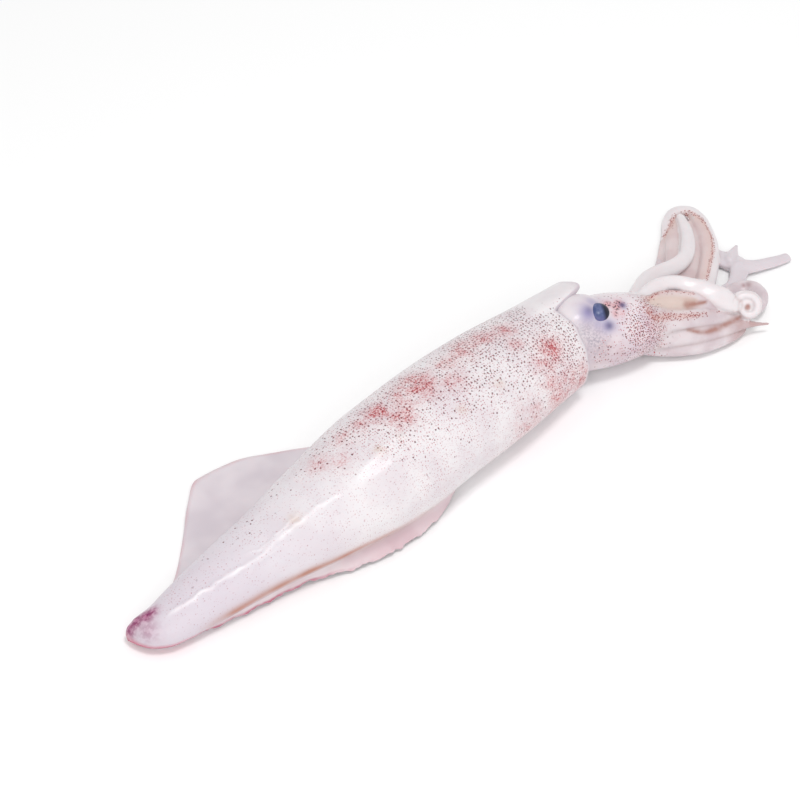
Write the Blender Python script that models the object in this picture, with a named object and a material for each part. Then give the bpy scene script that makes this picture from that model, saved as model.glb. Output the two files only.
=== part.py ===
"""A whole raw squid lying on a flat surface, tail to the left and arms to the right.

The mantle, both fins, the head, the eight arms and the two tentacles are one piece of flesh.
The mantle is a tapering tube with a flat underside and an open collar, and the neck comes out
of it. The far fin is spread on the surface, and the near one hangs from the mantle's side.
Each eyeball is a piece of its own in a pocket of the head.

All sizes below are in millimetres, with X measured from the tail's tip along the body.
The model is moved at the end, so that its origin is the middle of its footprint.
"""
import math

import bmesh
import bpy
import numpy as np
from mathutils import Matrix, Vector

MM = 0.001
SHARP_ANGLE = 50.0

# The mantle: how far each station is from the tail, and half its width there.
MANTLE_LENGTH = 200.0
MANTLE_HALF_WIDTH = ((0, 2.0), (2, 4.4), (5, 6.6), (12, 8.6), (30, 11.7), (55, 15.1), (80, 19.8), (110, 24.0),
                     (140, 24.5), (170, 23.3), (200, 20.6))
BODY_LINE = ((0, -1), (4, -4.5), (12, -6.6), (30, -6.3), (55, -6.2), (85, -6.9), (110, -6.3), (140, -3.1),
             (170, -1.0), (200, 1.4))
HEIGHT_TO_WIDTH = 0.76
UNDERSIDE_POWER = 0.9
UNDERSIDE_CUT = 1.1
TAIL_LIFT = 2.2
TAIL_LIFT_LENGTH = 14.0
SIDES = 36
TAIL_STATIONS = (0, 1.2, 3, 6, 10, 15, 21)
PLAIN_LENGTH = 176.0
PLAIN_STEPS = 19

# The collar: its front edge is at a distance from the tail that changes round the opening.
COLLAR_FRONT = 200.0
COLLAR_LOBE = 19.5
COLLAR_LOBE_AT = 56.0
COLLAR_LOBE_SPREAD = 30.0
COLLAR_LOBE_SQUARENESS = 8
COLLAR_LIP = 3.0
COLLAR_LIP_AT = 130.0
COLLAR_LIP_SPREAD = 23.0
COLLAR_WALL = 2.6
COLLAR_FLOOR = 187.0
COLLAR_PARTS = (0.25, 0.5, 0.75, 0.93)
COLLAR_EDGE = ((0.35, 0.0), (0.75, 0.0), (1.0, 0.9))
COLLAR_INSIDE_PARTS = (0.4, 0.75, 1.0)

# The fins, as points of their outer edge: distance from the tail, and place across the body.
FAR_FIN_EDGE = ((9, -1), (18, 4), (29, 12), (42, 25), (53, 37), (62, 44), (76, 43), (94, 36),
                (110, 27), (122, 18), (131, 10))
NEAR_FIN_EDGE = ((4, -7), (9, -10.8), (20, -14.2), (34, -17), (62, -20.8), (82, -27.5), (96, -29.8),
                 (108, -29.8), (120, -27), (129, -22))
FIN_ROOT_THICKNESS = 3.2
FIN_EDGE_THICKNESS = 1.2
FIN_THINNING = 0.65
FAR_FIN_ROOT = 0.35
FAR_FIN_RISE = 2.3
FAR_FIN_SLOPE = 14.0
FAR_FIN_SLOPE_POWER = 1.3
FAR_FIN_WAVE = 0.4
FAR_FIN_WAVE_LENGTH = 70.0
FAR_FIN_STATIONS = 23
FAR_FIN_STRIPS = 8
NEAR_FIN_ROOT = 0.86
NEAR_FIN_OVERLAP = 2.4
NEAR_FIN_CREASE = 8.0
NEAR_FIN_FOOT = 1.5
NEAR_FIN_SPREAD = 1.25
NEAR_FIN_DROP = 1.15
NEAR_FIN_LEAN = (0.38, 0.16)
NEAR_FIN_BELOW = 0.6
NEAR_FIN_STATIONS = 40
NEAR_FIN_STRIPS = 6
RUFFLE_HEIGHT = 0.7
RUFFLE_LIFT = 0.7
RUFFLE_LENGTH = 10.0
RUFFLE_FADE = 12.0

# Flesh that rests on the surface is flattened a hair above it, each form a little higher,
# so that no two forms share a plane where they are joined.
FLATTENED_AT = 0.04
FLATTENED_STEP = 0.04

# The head: middle of each station (X, Y, Z), half its width and half its height.
HEAD_STATIONS = ((184, 0, 16.5, 11, 10), (196, -0.5, 16, 12.4, 11.4), (205, -1.5, 15.6, 13.4, 12.6),
                 (213, -3, 15.4, 14.2, 13.8), (222, -6, 15.1, 14.6, 14.2), (231, -9.5, 14.4, 13.4, 13.2),
                 (239, -12.5, 13.2, 11, 11.4), (247, -16, 12, 8, 8.6), (258, -21, 10, 3.6, 4))
HEAD_STEP = 4.5
HEAD_SIDES = 26
FUNNEL_MIDDLE = (213.0, 1.0, 24.2)
FUNNEL_RADII = (8.6, 8.0, 8.0)
BALL_SEGMENTS = 18
BALL_RINGS = 10
EYE_STATION = (217.5, -4.3, 15.3, 14.4, 14.1)
EYE_RADIUS = 4.4
EYE_DEPTH = 2.9
EYE_SUNK = 1.5
POCKET_GAP = 0.35
NEAR_EYE_ANGLE = 103.0
FAR_EYE_ANGLE = -35.0

# The arms: points along each one (X, Y, Z) with the arm's radius there, from the head outwards.
UPPER_ARM = ((232, -8, 15.5, 3.4), (240, -7.5, 19, 4), (249, -5.7, 20.4, 3.3), (257.3, -7.6, 20, 3.1),
             (262.6, -13, 18.6, 3.3), (267, -19, 16.4, 3.9), (270.5, -24.5, 14.2, 3.4), (273.6, -27.8, 12.6, 2.1))
LEFT_TOP_ARM = ((230, -10, 16, 3.4), (238, -12, 19.8, 4.3), (247, -12.8, 19.3, 4.4), (256, -16.5, 17, 3.9),
                (265, -21.5, 13.5, 3.2), (271, -26, 10, 2.4), (275, -29, 7, 1.5))
SIDE_ARM = ((230, -11, 14.5, 3.4), (238, -17, 16, 4.1), (246, -20, 15.4, 4.1), (255, -23.5, 13.5, 3.7),
            (264, -27, 10.5, 3), (271, -29.5, 7, 2.2), (277, -33, 4, 1.2))
LOW_SIDE_ARM = ((229, -11, 11, 3.4), (237, -18, 10.2, 4), (245, -22.3, 9.4, 4), (254, -27, 8.4, 3.5),
                (264, -30.5, 7, 2.6), (272, -32.5, 6, 1.8), (278, -35.5, 5.2, 1.1), (283, -38.5, 4.6, 0.5))
LOWEST_ARM = ((229, -9, 7.5, 3.4), (236, -16, 5.4, 4), (244, -22.5, 4.4, 4), (253, -28.3, 4, 3.7),
              (263, -31.5, 3.4, 3), (271, -32.5, 2.6, 2.1), (276, -32, 1.8, 1.2))
ARCH_ARM = ((236, -10, 8.5, 3.4), (250, -9, 5.5, 4), (264, -10, 4, 4), (276, -8, 3.6, 4.1),
            (287, -1, 3.4, 4.2), (297, 7, 3.4, 4.1), (305.5, 17, 3.2, 3.9), (311, 28, 3, 3.6),
            (309, 34.5, 2.8, 3.1), (303, 34, 2.6, 2.7), (294, 27.5, 2.2, 2.3), (283, 20, 1.8, 1.8),
            (273, 13.5, 1.4, 1.2))
ARCH_FLATNESS = 0.66
INNER_ARM = ((234, -7, 14, 3.4), (244, -1.5, 14, 4.1), (252, 3, 12.6, 4), (260, 6.4, 11, 3.8),
             (268, 7, 9.8, 3.7), (275.8, 6.4, 8.9, 3.7), (283.8, 8.6, 8.1, 3.7), (291.2, 14, 7.1, 3.5),
             (298.2, 21.6, 5.8, 3), (304, 29.6, 4.6, 1.9))
UNDER_ARM = ((234, -12, 7, 3.4), (242, -16, 4.6, 3.8), (251, -19.5, 4.2, 3.6), (262, -21, 3.6, 3),
             (274, -18.5, 3.4, 2.8), (284, -15, 3.8, 2.7), (291, -15.8, 4.4, 2.6), (295.3, -20.8, 4.8, 2.4),
             (294.2, -26.8, 4.8, 2.1), (290.5, -31, 4.6, 1.6), (286.5, -33.2, 4.4, 0.9))
LONG_TENTACLE = ((240, -8, 10, 3), (254, -4, 5.5, 2.6), (268, -5.5, 3, 2.3), (280, -10, 2.6, 2.3),
                 (289.9, -11.6, 2.6, 2.4), (296, -9.8, 2.6, 3.4), (301.5, -6.6, 2.4, 4.2), (308, -9.8, 2, 3.2),
                 (315.6, -12.5, 1.6, 2.6), (322, -14, 1.4, 1.7))
CLUB_FLATNESS = 0.5
CLUB_SPIKE = ((299.5, -3.5, 2.2, 3.4), (303.5, 0, 2.3, 3), (307.5, 2.2, 2.4, 1.7), (311, 3.8, 2.6, 0.5))
CLUB_WEB = ((301, -5.5, 2.2, 3.4), (300.6, -1.5, 2.1, 3.8), (299.6, 2.5, 2.1, 3.6), (298, 6, 2.2, 3))
SHORT_TENTACLE = ((238, -7, 9, 3), (254, -2, 4.5, 2.8), (266, 1.5, 3, 3.2), (274, 4.5, 2.6, 4.6),
                  (282, 10, 2.4, 6), (290, 17, 2.2, 7), (297.5, 23.5, 2.1, 6.4), (302.5, 27.5, 2, 4.4))
SHORT_TENTACLE_FLATNESS = 0.3
ARM_SIDES = 9
ARM_STEP = 3.8
ARM_KEEL = 0.12
ARM_FLATTENED_BY = 0.5
ARM_NOSE = (0.7, 0.5)

# The curled tip of the upper arm, a flat spiral that faces up and to the front left.
CURL_MIDDLE = (277.3, -30.8, 11.5)
CURL_AXIS = (-0.46, -0.54, 0.71)
CURL_TURNS = 1.15
CURL_RADII = (4.2, 1.0)
CURL_THICKNESS = (1.8, 0.85)
CURL_DEPTH = 1.25
CURL_STEPS = 20

# Suckers stand in two rows on the inner side of an arm.
SUCKER_RADIUS = 0.7
SUCKER_HEIGHT = 0.4
SUCKER_STEP = 3.2
SUCKER_SIDES = 6
SUCKER_LEAN = 0.42
SUCKER_FOOT = 0.8


def clear_scene():
    """Remove whatever the new file holds."""
    for old in list(bpy.data.objects):
        bpy.data.objects.remove(old, do_unlink=True)


def skin_material(name, colour, roughness):
    """A damp, non-metallic surface of one colour."""
    material = bpy.data.materials.new(name)
    material.use_nodes = True
    shader = material.node_tree.nodes["Principled BSDF"]
    shader.inputs["Base Color"].default_value = (*colour, 1.0)
    shader.inputs["Roughness"].default_value = roughness
    shader.inputs["Metallic"].default_value = 0.0
    return material


def smooth_value(stations, x):
    """Read a smooth curve through (x, value) stations, with no overshoot between them."""
    xs = [s[0] for s in stations]
    values = [s[1] for s in stations]
    x = min(max(x, xs[0]), xs[-1])
    i = min(max(int(np.searchsorted(xs, x)) - 1, 0), len(xs) - 2)
    slopes = [(b - a) / (q - p) for a, b, p, q in zip(values, values[1:], xs, xs[1:])]

    def tangent(k):
        if k == 0 or k == len(xs) - 1:
            return slopes[min(k, len(slopes) - 1)]
        before, after = slopes[k - 1], slopes[k]
        return 0.0 if before * after <= 0 else 2 * before * after / (before + after)

    step = xs[i + 1] - xs[i]
    t = (x - xs[i]) / step
    return (values[i] * (1 + 2 * t) * (1 - t) ** 2 + tangent(i) * step * t * (1 - t) ** 2
            + values[i + 1] * t * t * (3 - 2 * t) - tangent(i + 1) * step * t * t * (1 - t))


def smooth_path(points, step):
    """Points a step apart along a smooth curve through rows of numbers; X, Y and Z come first."""
    rows = np.array(points, float)
    ends = np.vstack([2 * rows[0] - rows[1], rows, 2 * rows[-1] - rows[-2]])
    fine = []
    for a, b, c, d in zip(ends, ends[1:], ends[2:], ends[3:]):
        for t in np.linspace(0, 1, 24, endpoint=False):
            fine.append(0.5 * (2 * b + (c - a) * t + (2 * a - 5 * b + 4 * c - d) * t * t
                               + (3 * b - a - 3 * c + d) * t ** 3))
    fine = np.array(fine + [rows[-1]])
    run = np.concatenate([[0], np.cumsum(np.linalg.norm(np.diff(fine[:, :3], axis=0), axis=1))])
    at = np.linspace(0, run[-1], max(int(round(run[-1] / step)), 3) + 1)
    return np.stack([np.interp(at, run, column) for column in fine.T], axis=1)


def mesh_object(name, vertices, faces, material, collection=None):
    """Make an object from corner places in millimetres and faces that point outwards."""
    mesh = bpy.data.meshes.new(name)
    mesh.from_pydata([Vector(v) * MM for v in vertices], [], faces)
    shape = bmesh.new()
    shape.from_mesh(mesh)
    bmesh.ops.recalc_face_normals(shape, faces=shape.faces)
    shape.to_mesh(mesh)
    shape.free()
    mesh.materials.append(material)
    piece = bpy.data.objects.new(name, mesh)
    (collection or bpy.context.scene.collection).objects.link(piece)
    return piece


def loft(name, rings, material, collection=None):
    """Join closed rings of equal length into one solid with its two ends filled."""
    count = len(rings[0])
    vertices = [tuple(point) for ring in rings for point in ring]
    faces = [tuple(reversed(range(count)))]
    for r in range(len(rings) - 1):
        for i in range(count):
            j = (i + 1) % count
            faces.append((r * count + i, r * count + j, (r + 1) * count + j, (r + 1) * count + i))
    faces.append(tuple((len(rings) - 1) * count + i for i in range(count)))
    return mesh_object(name, vertices, faces, material, collection)


def body_line(x):
    """How far the bowed axis of the mantle is to one side at a distance from the tail."""
    return smooth_value(BODY_LINE, x)


def mantle_point(x, angle, inset=0.0, front=None):
    """A point of the mantle's skin, or of a surface inset from it, at an angle round its axis."""
    width = smooth_value(MANTLE_HALF_WIDTH, x)
    height = width * HEIGHT_TO_WIDTH
    side = math.cos(angle)
    rise = math.sin(angle)
    if rise < 0:
        rise = -min(UNDERSIDE_CUT * abs(rise) ** UNDERSIDE_POWER, 1.0)
    lift = TAIL_LIFT * max(1 - x / TAIL_LIFT_LENGTH, 0.0) ** 2
    return (x if front is None else front, body_line(x) + (width - inset) * side,
            height + (height - inset) * rise + lift)


def collar_front(angle):
    """Where the collar's edge is along the body at an angle round the opening."""
    degrees = (math.degrees(angle) + 180.0) % 360.0 - 180.0
    off_lobe = abs(degrees - COLLAR_LOBE_AT) / COLLAR_LOBE_SPREAD
    lobe = COLLAR_LOBE * math.exp(-off_lobe ** COLLAR_LOBE_SQUARENESS)
    lip = COLLAR_LIP * math.exp(-((degrees - COLLAR_LIP_AT) / COLLAR_LIP_SPREAD) ** 2)
    return COLLAR_FRONT + lobe + lip


def make_mantle(material):
    """The tube of the body: tail, skin, the collar's edge, and the wall inside the collar."""
    angles = [2 * math.pi * i / SIDES for i in range(SIDES)]
    stations = list(TAIL_STATIONS) + list(np.linspace(TAIL_STATIONS[-1], PLAIN_LENGTH, PLAIN_STEPS + 1)[1:])
    rings = [[mantle_point(x, a) for a in angles] for x in stations]
    for part in COLLAR_PARTS:
        fronts = [PLAIN_LENGTH + (collar_front(a) - PLAIN_LENGTH) * part for a in angles]
        rings.append([mantle_point(min(f, MANTLE_LENGTH), a, 0, f) for f, a in zip(fronts, angles)])
    for share, back in COLLAR_EDGE:
        inset = share * COLLAR_WALL
        rings.append([mantle_point(MANTLE_LENGTH, a, inset, collar_front(a) - back) for a in angles])
    for part in COLLAR_INSIDE_PARTS:
        fronts = [collar_front(a) + (COLLAR_FLOOR - collar_front(a)) * part for a in angles]
        rings.append([mantle_point(MANTLE_LENGTH, a, COLLAR_WALL, f) for f, a in zip(fronts, angles)])
    return loft("squid", rings, material)


def fin_thickness(share):
    """How thick a fin is at a share of its reach, from its root to its edge."""
    return FIN_ROOT_THICKNESS + (FIN_EDGE_THICKNESS - FIN_ROOT_THICKNESS) * share ** FIN_THINNING


def make_far_fin(material, collection):
    """The fin that is spread flat on the surface beyond the body, in shallow waves."""
    rings = []
    for x in np.linspace(FAR_FIN_EDGE[0][0], FAR_FIN_EDGE[-1][0], FAR_FIN_STATIONS):
        root = body_line(x) + FAR_FIN_ROOT * smooth_value(MANTLE_HALF_WIDTH, x)
        reach = max(smooth_value(FAR_FIN_EDGE, x) - root, 1.0)
        top = []
        below = []
        for u in np.linspace(0, 1, FAR_FIN_STRIPS):
            y = root + u * reach
            slope = FAR_FIN_RISE * max(1 - u * reach / FAR_FIN_SLOPE, 0.0) ** FAR_FIN_SLOPE_POWER
            wave = FAR_FIN_WAVE * u * (1 + math.sin(2 * math.pi * x / FAR_FIN_WAVE_LENGTH + 2 * u))
            low = slope + wave * min(reach / FAR_FIN_SLOPE, 1.0)
            thick = fin_thickness(u)
            top.append((x, y, low + thick))
            below.append((x, y, low))
        rings.append(top + below[::-1])
    return loft("far fin", rings, material, collection)


def make_near_fin(material, collection):
    """The fin that hangs from a crease along the near side, its edge ruffled on the surface."""
    rings = []
    start = NEAR_FIN_EDGE[0][0]
    end = NEAR_FIN_EDGE[-1][0]
    for x in np.linspace(start, end, NEAR_FIN_STATIONS):
        width = smooth_value(MANTLE_HALF_WIDTH, x)
        side = body_line(x) - NEAR_FIN_ROOT * width
        edge = smooth_value(NEAR_FIN_EDGE, x)
        crease = min(NEAR_FIN_CREASE, NEAR_FIN_ROOT * HEIGHT_TO_WIDTH * width)
        fade = min((x - start) / RUFFLE_FADE, (end - x) / RUFFLE_FADE, 1.0)
        ruffle = RUFFLE_HEIGHT * fade * (RUFFLE_LIFT + math.sin(2 * math.pi * x / RUFFLE_LENGTH))
        top = []
        below = []
        for u in np.linspace(0, 1, NEAR_FIN_STRIPS):
            y = side + NEAR_FIN_OVERLAP * (1 - u) + (edge - side) * u ** NEAR_FIN_SPREAD
            z = NEAR_FIN_FOOT + (crease - NEAR_FIN_FOOT) * (1 - u) ** NEAR_FIN_DROP + ruffle * u ** 3
            thick = fin_thickness(u)
            lean = NEAR_FIN_LEAN[0] + (NEAR_FIN_LEAN[1] - NEAR_FIN_LEAN[0]) * u ** 2
            top.append((x, y - lean * thick, z + (0.5 - 0.5 * lean) * thick))
            below.append((x, y + lean * thick, max(z - NEAR_FIN_BELOW * thick, FLATTENED_AT)))
        rings.append(top + below[::-1])
    return loft("near fin", rings, material, collection)


def oval_ring(middle, heading, width, height, sides, floor, keel=0.0):
    """A ring across a heading, wide to the sides and flattened where it meets the surface."""
    heading = Vector(heading).normalized()
    across = heading.cross(Vector((0, 0, 1))).normalized()
    up = across.cross(heading)
    ring = []
    for i in range(sides):
        angle = 2 * math.pi * i / sides
        swell = 1 + keel * math.cos(3 * angle)
        point = Vector(middle) + swell * (across * width * math.cos(angle) + up * height * math.sin(angle))
        point.z = max(point.z, floor)
        ring.append(tuple(point))
    return ring


def make_head(material, collection):
    """The neck and head, narrowing into a core between the roots of the arms."""
    path = smooth_path(HEAD_STATIONS, HEAD_STEP)
    rings = []
    for i, row in enumerate(path):
        ahead = path[min(i + 1, len(path) - 1)][:3] - path[max(i - 1, 0)][:3]
        rings.append(oval_ring(row[:3], ahead, row[3], row[4], HEAD_SIDES, 2 * FLATTENED_AT))
    return loft("head", rings, material, collection)


def make_funnel(material, collection):
    """The rounded swelling between the collar and the near eye."""
    shape = bmesh.new()
    bmesh.ops.create_uvsphere(shape, u_segments=BALL_SEGMENTS, v_segments=BALL_RINGS, radius=1.0)
    mesh = bpy.data.meshes.new("funnel")
    bmesh.ops.transform(shape, matrix=Matrix.Translation(Vector(FUNNEL_MIDDLE) * MM)
                        @ Matrix.Diagonal((*(r * MM for r in FUNNEL_RADII), 1.0)), verts=shape.verts)
    shape.to_mesh(mesh)
    shape.free()
    mesh.materials.append(material)
    funnel = bpy.data.objects.new("funnel", mesh)
    collection.objects.link(funnel)
    return funnel


def make_arm(name, points, flatness, floor, material, collection):
    """A tapering arm along a smooth path, ever flatter towards its rounded tip."""
    path = smooth_path(points, ARM_STEP)
    rings = []
    for i, row in enumerate(path):
        ahead = path[min(i + 1, len(path) - 1)][:3] - path[max(i - 1, 0)][:3]
        part = min(i / len(path) / ARM_FLATTENED_BY, 1.0)
        height = row[3] * (1 + (flatness - 1) * part)
        rings.append(oval_ring(row[:3], ahead, row[3], height, ARM_SIDES, floor, ARM_KEEL))
    tip = path[-1]
    ahead = Vector(path[-1][:3] - path[-2][:3]).normalized()
    reach, narrowed = ARM_NOSE
    nose = Vector(tip[:3]) + ahead * tip[3] * reach
    rings.append(oval_ring(nose, ahead, tip[3] * narrowed, tip[3] * narrowed * flatness, ARM_SIDES, floor))
    return loft(name, rings, material, collection)


def make_curl(material, collection):
    """The upper arm's tip, rolled into a flat spiral that starts where the arm arrives."""
    axis = Vector(CURL_AXIS).normalized()
    start = Vector(UPPER_ARM[-1][:3]) - Vector(CURL_MIDDLE)
    start = (start - axis * start.dot(axis)).normalized()
    turn = axis.cross(start)
    rings = []
    for i in range(CURL_STEPS + 1):
        t = i / CURL_STEPS
        angle = -2 * math.pi * CURL_TURNS * t
        radius = CURL_RADII[0] + (CURL_RADII[1] - CURL_RADII[0]) * t
        thick = CURL_THICKNESS[0] + (CURL_THICKNESS[1] - CURL_THICKNESS[0]) * t
        out = start * math.cos(angle) + turn * math.sin(angle)
        middle = Vector(CURL_MIDDLE) + out * radius
        ring = []
        for k in range(ARM_SIDES):
            a = 2 * math.pi * k / ARM_SIDES
            ring.append(tuple(middle + (out * math.cos(a) + axis * CURL_DEPTH * math.sin(a)) * thick))
        rings.append(ring)
    return loft("curl", rings, material, collection)


def make_suckers(name, points, side_degrees, first, last, material, collection):
    """Two rows of small cups on one side of part of an arm, from one share of it to another."""
    path = smooth_path(points, SUCKER_STEP)
    side = math.radians(side_degrees)
    for i in range(int(first * len(path)), int(last * len(path))):
        middle = Vector(path[i][:3])
        radius = path[i][3]
        ahead = Vector(path[i + 1][:3] - path[i - 1][:3]).normalized()
        across = ahead.cross(Vector((0, 0, 1))).normalized()
        up = across.cross(ahead)
        for lean in (-SUCKER_LEAN, SUCKER_LEAN):
            out = across * math.cos(side + lean) + up * math.sin(side + lean)
            size = min(SUCKER_RADIUS, SUCKER_LEAN * radius)
            rings = []
            for height in (SUCKER_FOOT * radius, radius + SUCKER_HEIGHT):
                ring = []
                for k in range(SUCKER_SIDES):
                    a = 2 * math.pi * k / SUCKER_SIDES
                    flat = ahead * math.cos(a) + out.cross(ahead) * math.sin(a)
                    ring.append(tuple(middle + out * height + flat * size))
                rings.append(ring)
            loft(name, rings, material, collection)


def eye_place(angle_degrees):
    """The matrix that puts an eye on the head's skin, looking out, at an angle round the head."""
    x, y, z, width, height = EYE_STATION
    angle = math.radians(angle_degrees)
    skin = Vector((x, y + width * math.cos(angle), z + height * math.sin(angle)))
    out = Vector((0, math.cos(angle) / width, math.sin(angle) / height)).normalized()
    turn = out.to_track_quat('Z', 'Y').to_matrix().to_4x4()
    return Matrix.Translation((skin - out * EYE_SUNK) * MM) @ turn


def make_eyeball(name, angle_degrees, material, grow=0.0):
    """A slightly flattened ball; grown a little, it is also the cutter for its pocket."""
    shape = bmesh.new()
    bmesh.ops.create_uvsphere(shape, u_segments=BALL_SEGMENTS, v_segments=BALL_RINGS, radius=1.0)
    size = Matrix.Diagonal(((EYE_RADIUS + grow) * MM, (EYE_RADIUS + grow) * MM, (EYE_DEPTH + grow) * MM, 1))
    bmesh.ops.transform(shape, matrix=eye_place(angle_degrees) @ size, verts=shape.verts)
    mesh = bpy.data.meshes.new(name)
    shape.to_mesh(mesh)
    shape.free()
    mesh.materials.append(material)
    ball = bpy.data.objects.new(name, mesh)
    bpy.context.scene.collection.objects.link(ball)
    return ball


def apply_boolean(target, operation, collection=None, cutter=None):
    """Join a collection to the target, or cut one object from it, and remove what was used.

    So many soft forms that cross at low angles leave open edges with the exact solver, and the
    manifold one joins them cleanly.
    """
    tool = target.modifiers.new(operation.lower(), 'BOOLEAN')
    tool.operation = operation
    tool.solver = 'MANIFOLD'
    if collection is not None:
        tool.operand_type = 'COLLECTION'
        tool.collection = collection
    else:
        tool.object = cutter
    bpy.context.view_layer.objects.active = target
    target.select_set(True)
    bpy.ops.object.modifier_apply(modifier=tool.name)
    for used in list(collection.objects) if collection is not None else [cutter]:
        bpy.data.objects.remove(used, do_unlink=True)
    if collection is not None:
        bpy.data.collections.remove(collection)


def finish(pieces):
    """Round shading on every piece, and the origin in the middle of the footprint."""
    corners = [corner for piece in pieces for corner in (v.co for v in piece.data.vertices)]
    low = Vector([min(c[i] for c in corners) for i in range(3)])
    high = Vector([max(c[i] for c in corners) for i in range(3)])
    move = Matrix.Translation((-(low.x + high.x) / 2, -(low.y + high.y) / 2, -low.z))
    for piece in pieces:
        piece.data.transform(move)
        piece.data.shade_smooth()
        piece.data.set_sharp_from_angle(angle=math.radians(SHARP_ANGLE))


def make_squid():
    """Build every form, join the flesh into one solid and set the eyes into it."""
    clear_scene()
    flesh = skin_material("raw_flesh", (0.80, 0.70, 0.72), 0.35)
    dark = skin_material("eye", (0.05, 0.06, 0.12), 0.12)
    forms = bpy.data.collections.new("forms")
    bpy.context.scene.collection.children.link(forms)
    squid = make_mantle(flesh)
    make_far_fin(flesh, forms)
    make_near_fin(flesh, forms)
    make_head(flesh, forms)
    make_funnel(flesh, forms)
    arms = (("upper arm", UPPER_ARM, 1.0), ("left top arm", LEFT_TOP_ARM, 1.0), ("side arm", SIDE_ARM, 1.0),
            ("low side arm", LOW_SIDE_ARM, 1.0), ("lowest arm", LOWEST_ARM, 1.0),
            ("arch arm", ARCH_ARM, ARCH_FLATNESS), ("inner arm", INNER_ARM, 1.0),
            ("under arm", UNDER_ARM, 1.0), ("short tentacle", SHORT_TENTACLE, SHORT_TENTACLE_FLATNESS),
            ("long tentacle", LONG_TENTACLE, CLUB_FLATNESS), ("club spike", CLUB_SPIKE, CLUB_FLATNESS),
            ("club web", CLUB_WEB, CLUB_FLATNESS))
    for order, (name, points, flatness) in enumerate(arms):
        make_arm(name, points, flatness, 3 * FLATTENED_AT + order * FLATTENED_STEP, flesh, forms)
    make_curl(flesh, forms)
    make_suckers("arch sucker", ARCH_ARM, 150, 0.66, 0.92, flesh, forms)
    make_suckers("under sucker", UNDER_ARM, 40, 0.6, 0.95, flesh, forms)
    apply_boolean(squid, 'UNION', collection=forms)
    eyes = []
    for name, angle in (("eye_near", NEAR_EYE_ANGLE), ("eye_far", FAR_EYE_ANGLE)):
        apply_boolean(squid, 'DIFFERENCE', cutter=make_eyeball("pocket", angle, flesh, POCKET_GAP))
        eyes.append(make_eyeball(name, angle, dark))
    finish([squid] + eyes)


make_squid()
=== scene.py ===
"""A whole raw squid on a pale surface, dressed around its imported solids.

Places are in millimetres as the squid lies: X runs from the tail's tip along the body, Y towards
the spread fin and Z up from the surface. on_part() moves them into the frame of the solids.
"""

import math

import bpy
import numpy as np
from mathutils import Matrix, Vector, noise


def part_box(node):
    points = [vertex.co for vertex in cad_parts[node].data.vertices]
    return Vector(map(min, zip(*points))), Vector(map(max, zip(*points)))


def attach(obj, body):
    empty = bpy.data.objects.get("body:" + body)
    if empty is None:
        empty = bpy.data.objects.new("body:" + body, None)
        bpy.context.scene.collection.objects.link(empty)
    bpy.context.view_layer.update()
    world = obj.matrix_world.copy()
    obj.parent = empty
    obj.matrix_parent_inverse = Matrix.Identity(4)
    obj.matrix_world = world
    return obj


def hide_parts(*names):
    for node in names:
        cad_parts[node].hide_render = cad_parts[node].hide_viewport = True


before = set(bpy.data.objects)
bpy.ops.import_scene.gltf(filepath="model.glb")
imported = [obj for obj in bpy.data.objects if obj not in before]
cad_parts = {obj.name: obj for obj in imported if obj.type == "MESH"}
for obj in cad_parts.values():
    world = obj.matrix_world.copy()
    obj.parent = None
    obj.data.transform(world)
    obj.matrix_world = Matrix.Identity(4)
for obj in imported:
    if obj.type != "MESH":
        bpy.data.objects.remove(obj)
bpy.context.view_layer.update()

# The mantle is the body's tube of muscle, whitish and slightly see-through, under a thin wet skin
# that is full of tiny red and dark spots. It ends in a blunt tail and in an open collar whose
# rounded edge stands off the neck, with a pale flap on the far side.
MM = 0.001
TAIL_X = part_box("squid")[0].x
BODY_LINE_Y = -2.51 * MM
MANTLE_LENGTH = 200.0
MANTLE_HALF_WIDTH = ((0, 0), (0.3, 1.5), (1, 3), (2, 4.4), (5, 6.6), (12, 8.6), (30, 11.7), (55, 15.1),
                     (80, 19.8), (110, 24.0), (140, 24.5), (170, 23.3), (200, 20.6))
BODY_LINE = ((0, -1), (4, -4.5), (12, -6.6), (30, -6.3), (55, -6.2), (85, -6.9), (110, -6.3), (140, -3.1),
             (170, -1.0), (200, 1.4))
HEIGHT_TO_WIDTH = 0.76
UNDERSIDE_POWER = 0.9
UNDERSIDE_CUT = 1.1
TAIL_LIFT = 2.2
TAIL_LIFT_LENGTH = 14.0
COLLAR_FRONT = 200.0
COLLAR_MIDDLE = (1.4, 15.7)
COLLAR_RADIUS = 20.6
COLLAR_LOBE = 19.5
COLLAR_LOBE_AT = 53.5
COLLAR_LOBE_SPREAD = 27.5
COLLAR_LOBE_SQUARENESS = 8
COLLAR_LIP = 3.0
COLLAR_LIP_AT = 112.0
COLLAR_LIP_SPREAD = 28.0
COLLAR_WAVE = 0.3
COLLAR_WALL = 2.6
COLLAR_FLOOR = 187.0
COLLAR_STARTS = 176.0
MANTLE_ROWS = 250
MANTLE_SIDES = 168
LIP_STEPS = 7
INSIDE_STEPS = 9

# Creases of the slack skin along the tail half: places (X, degrees round the body), height and width.
SKIN_FOLDS = ((((10, 104), (22, 112), (34, 116), (46, 122), (58, 116), (82, 114)), 0.6, 1.1),
              (((44, 104), (52, 112), (62, 108), (70, 103)), 0.45, 0.6),
              (((40, 132), (50, 126), (60, 127)), 0.3, 0.6),
              (((88, 112), (104, 106), (120, 110)), 0.3, 1.2))


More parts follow.
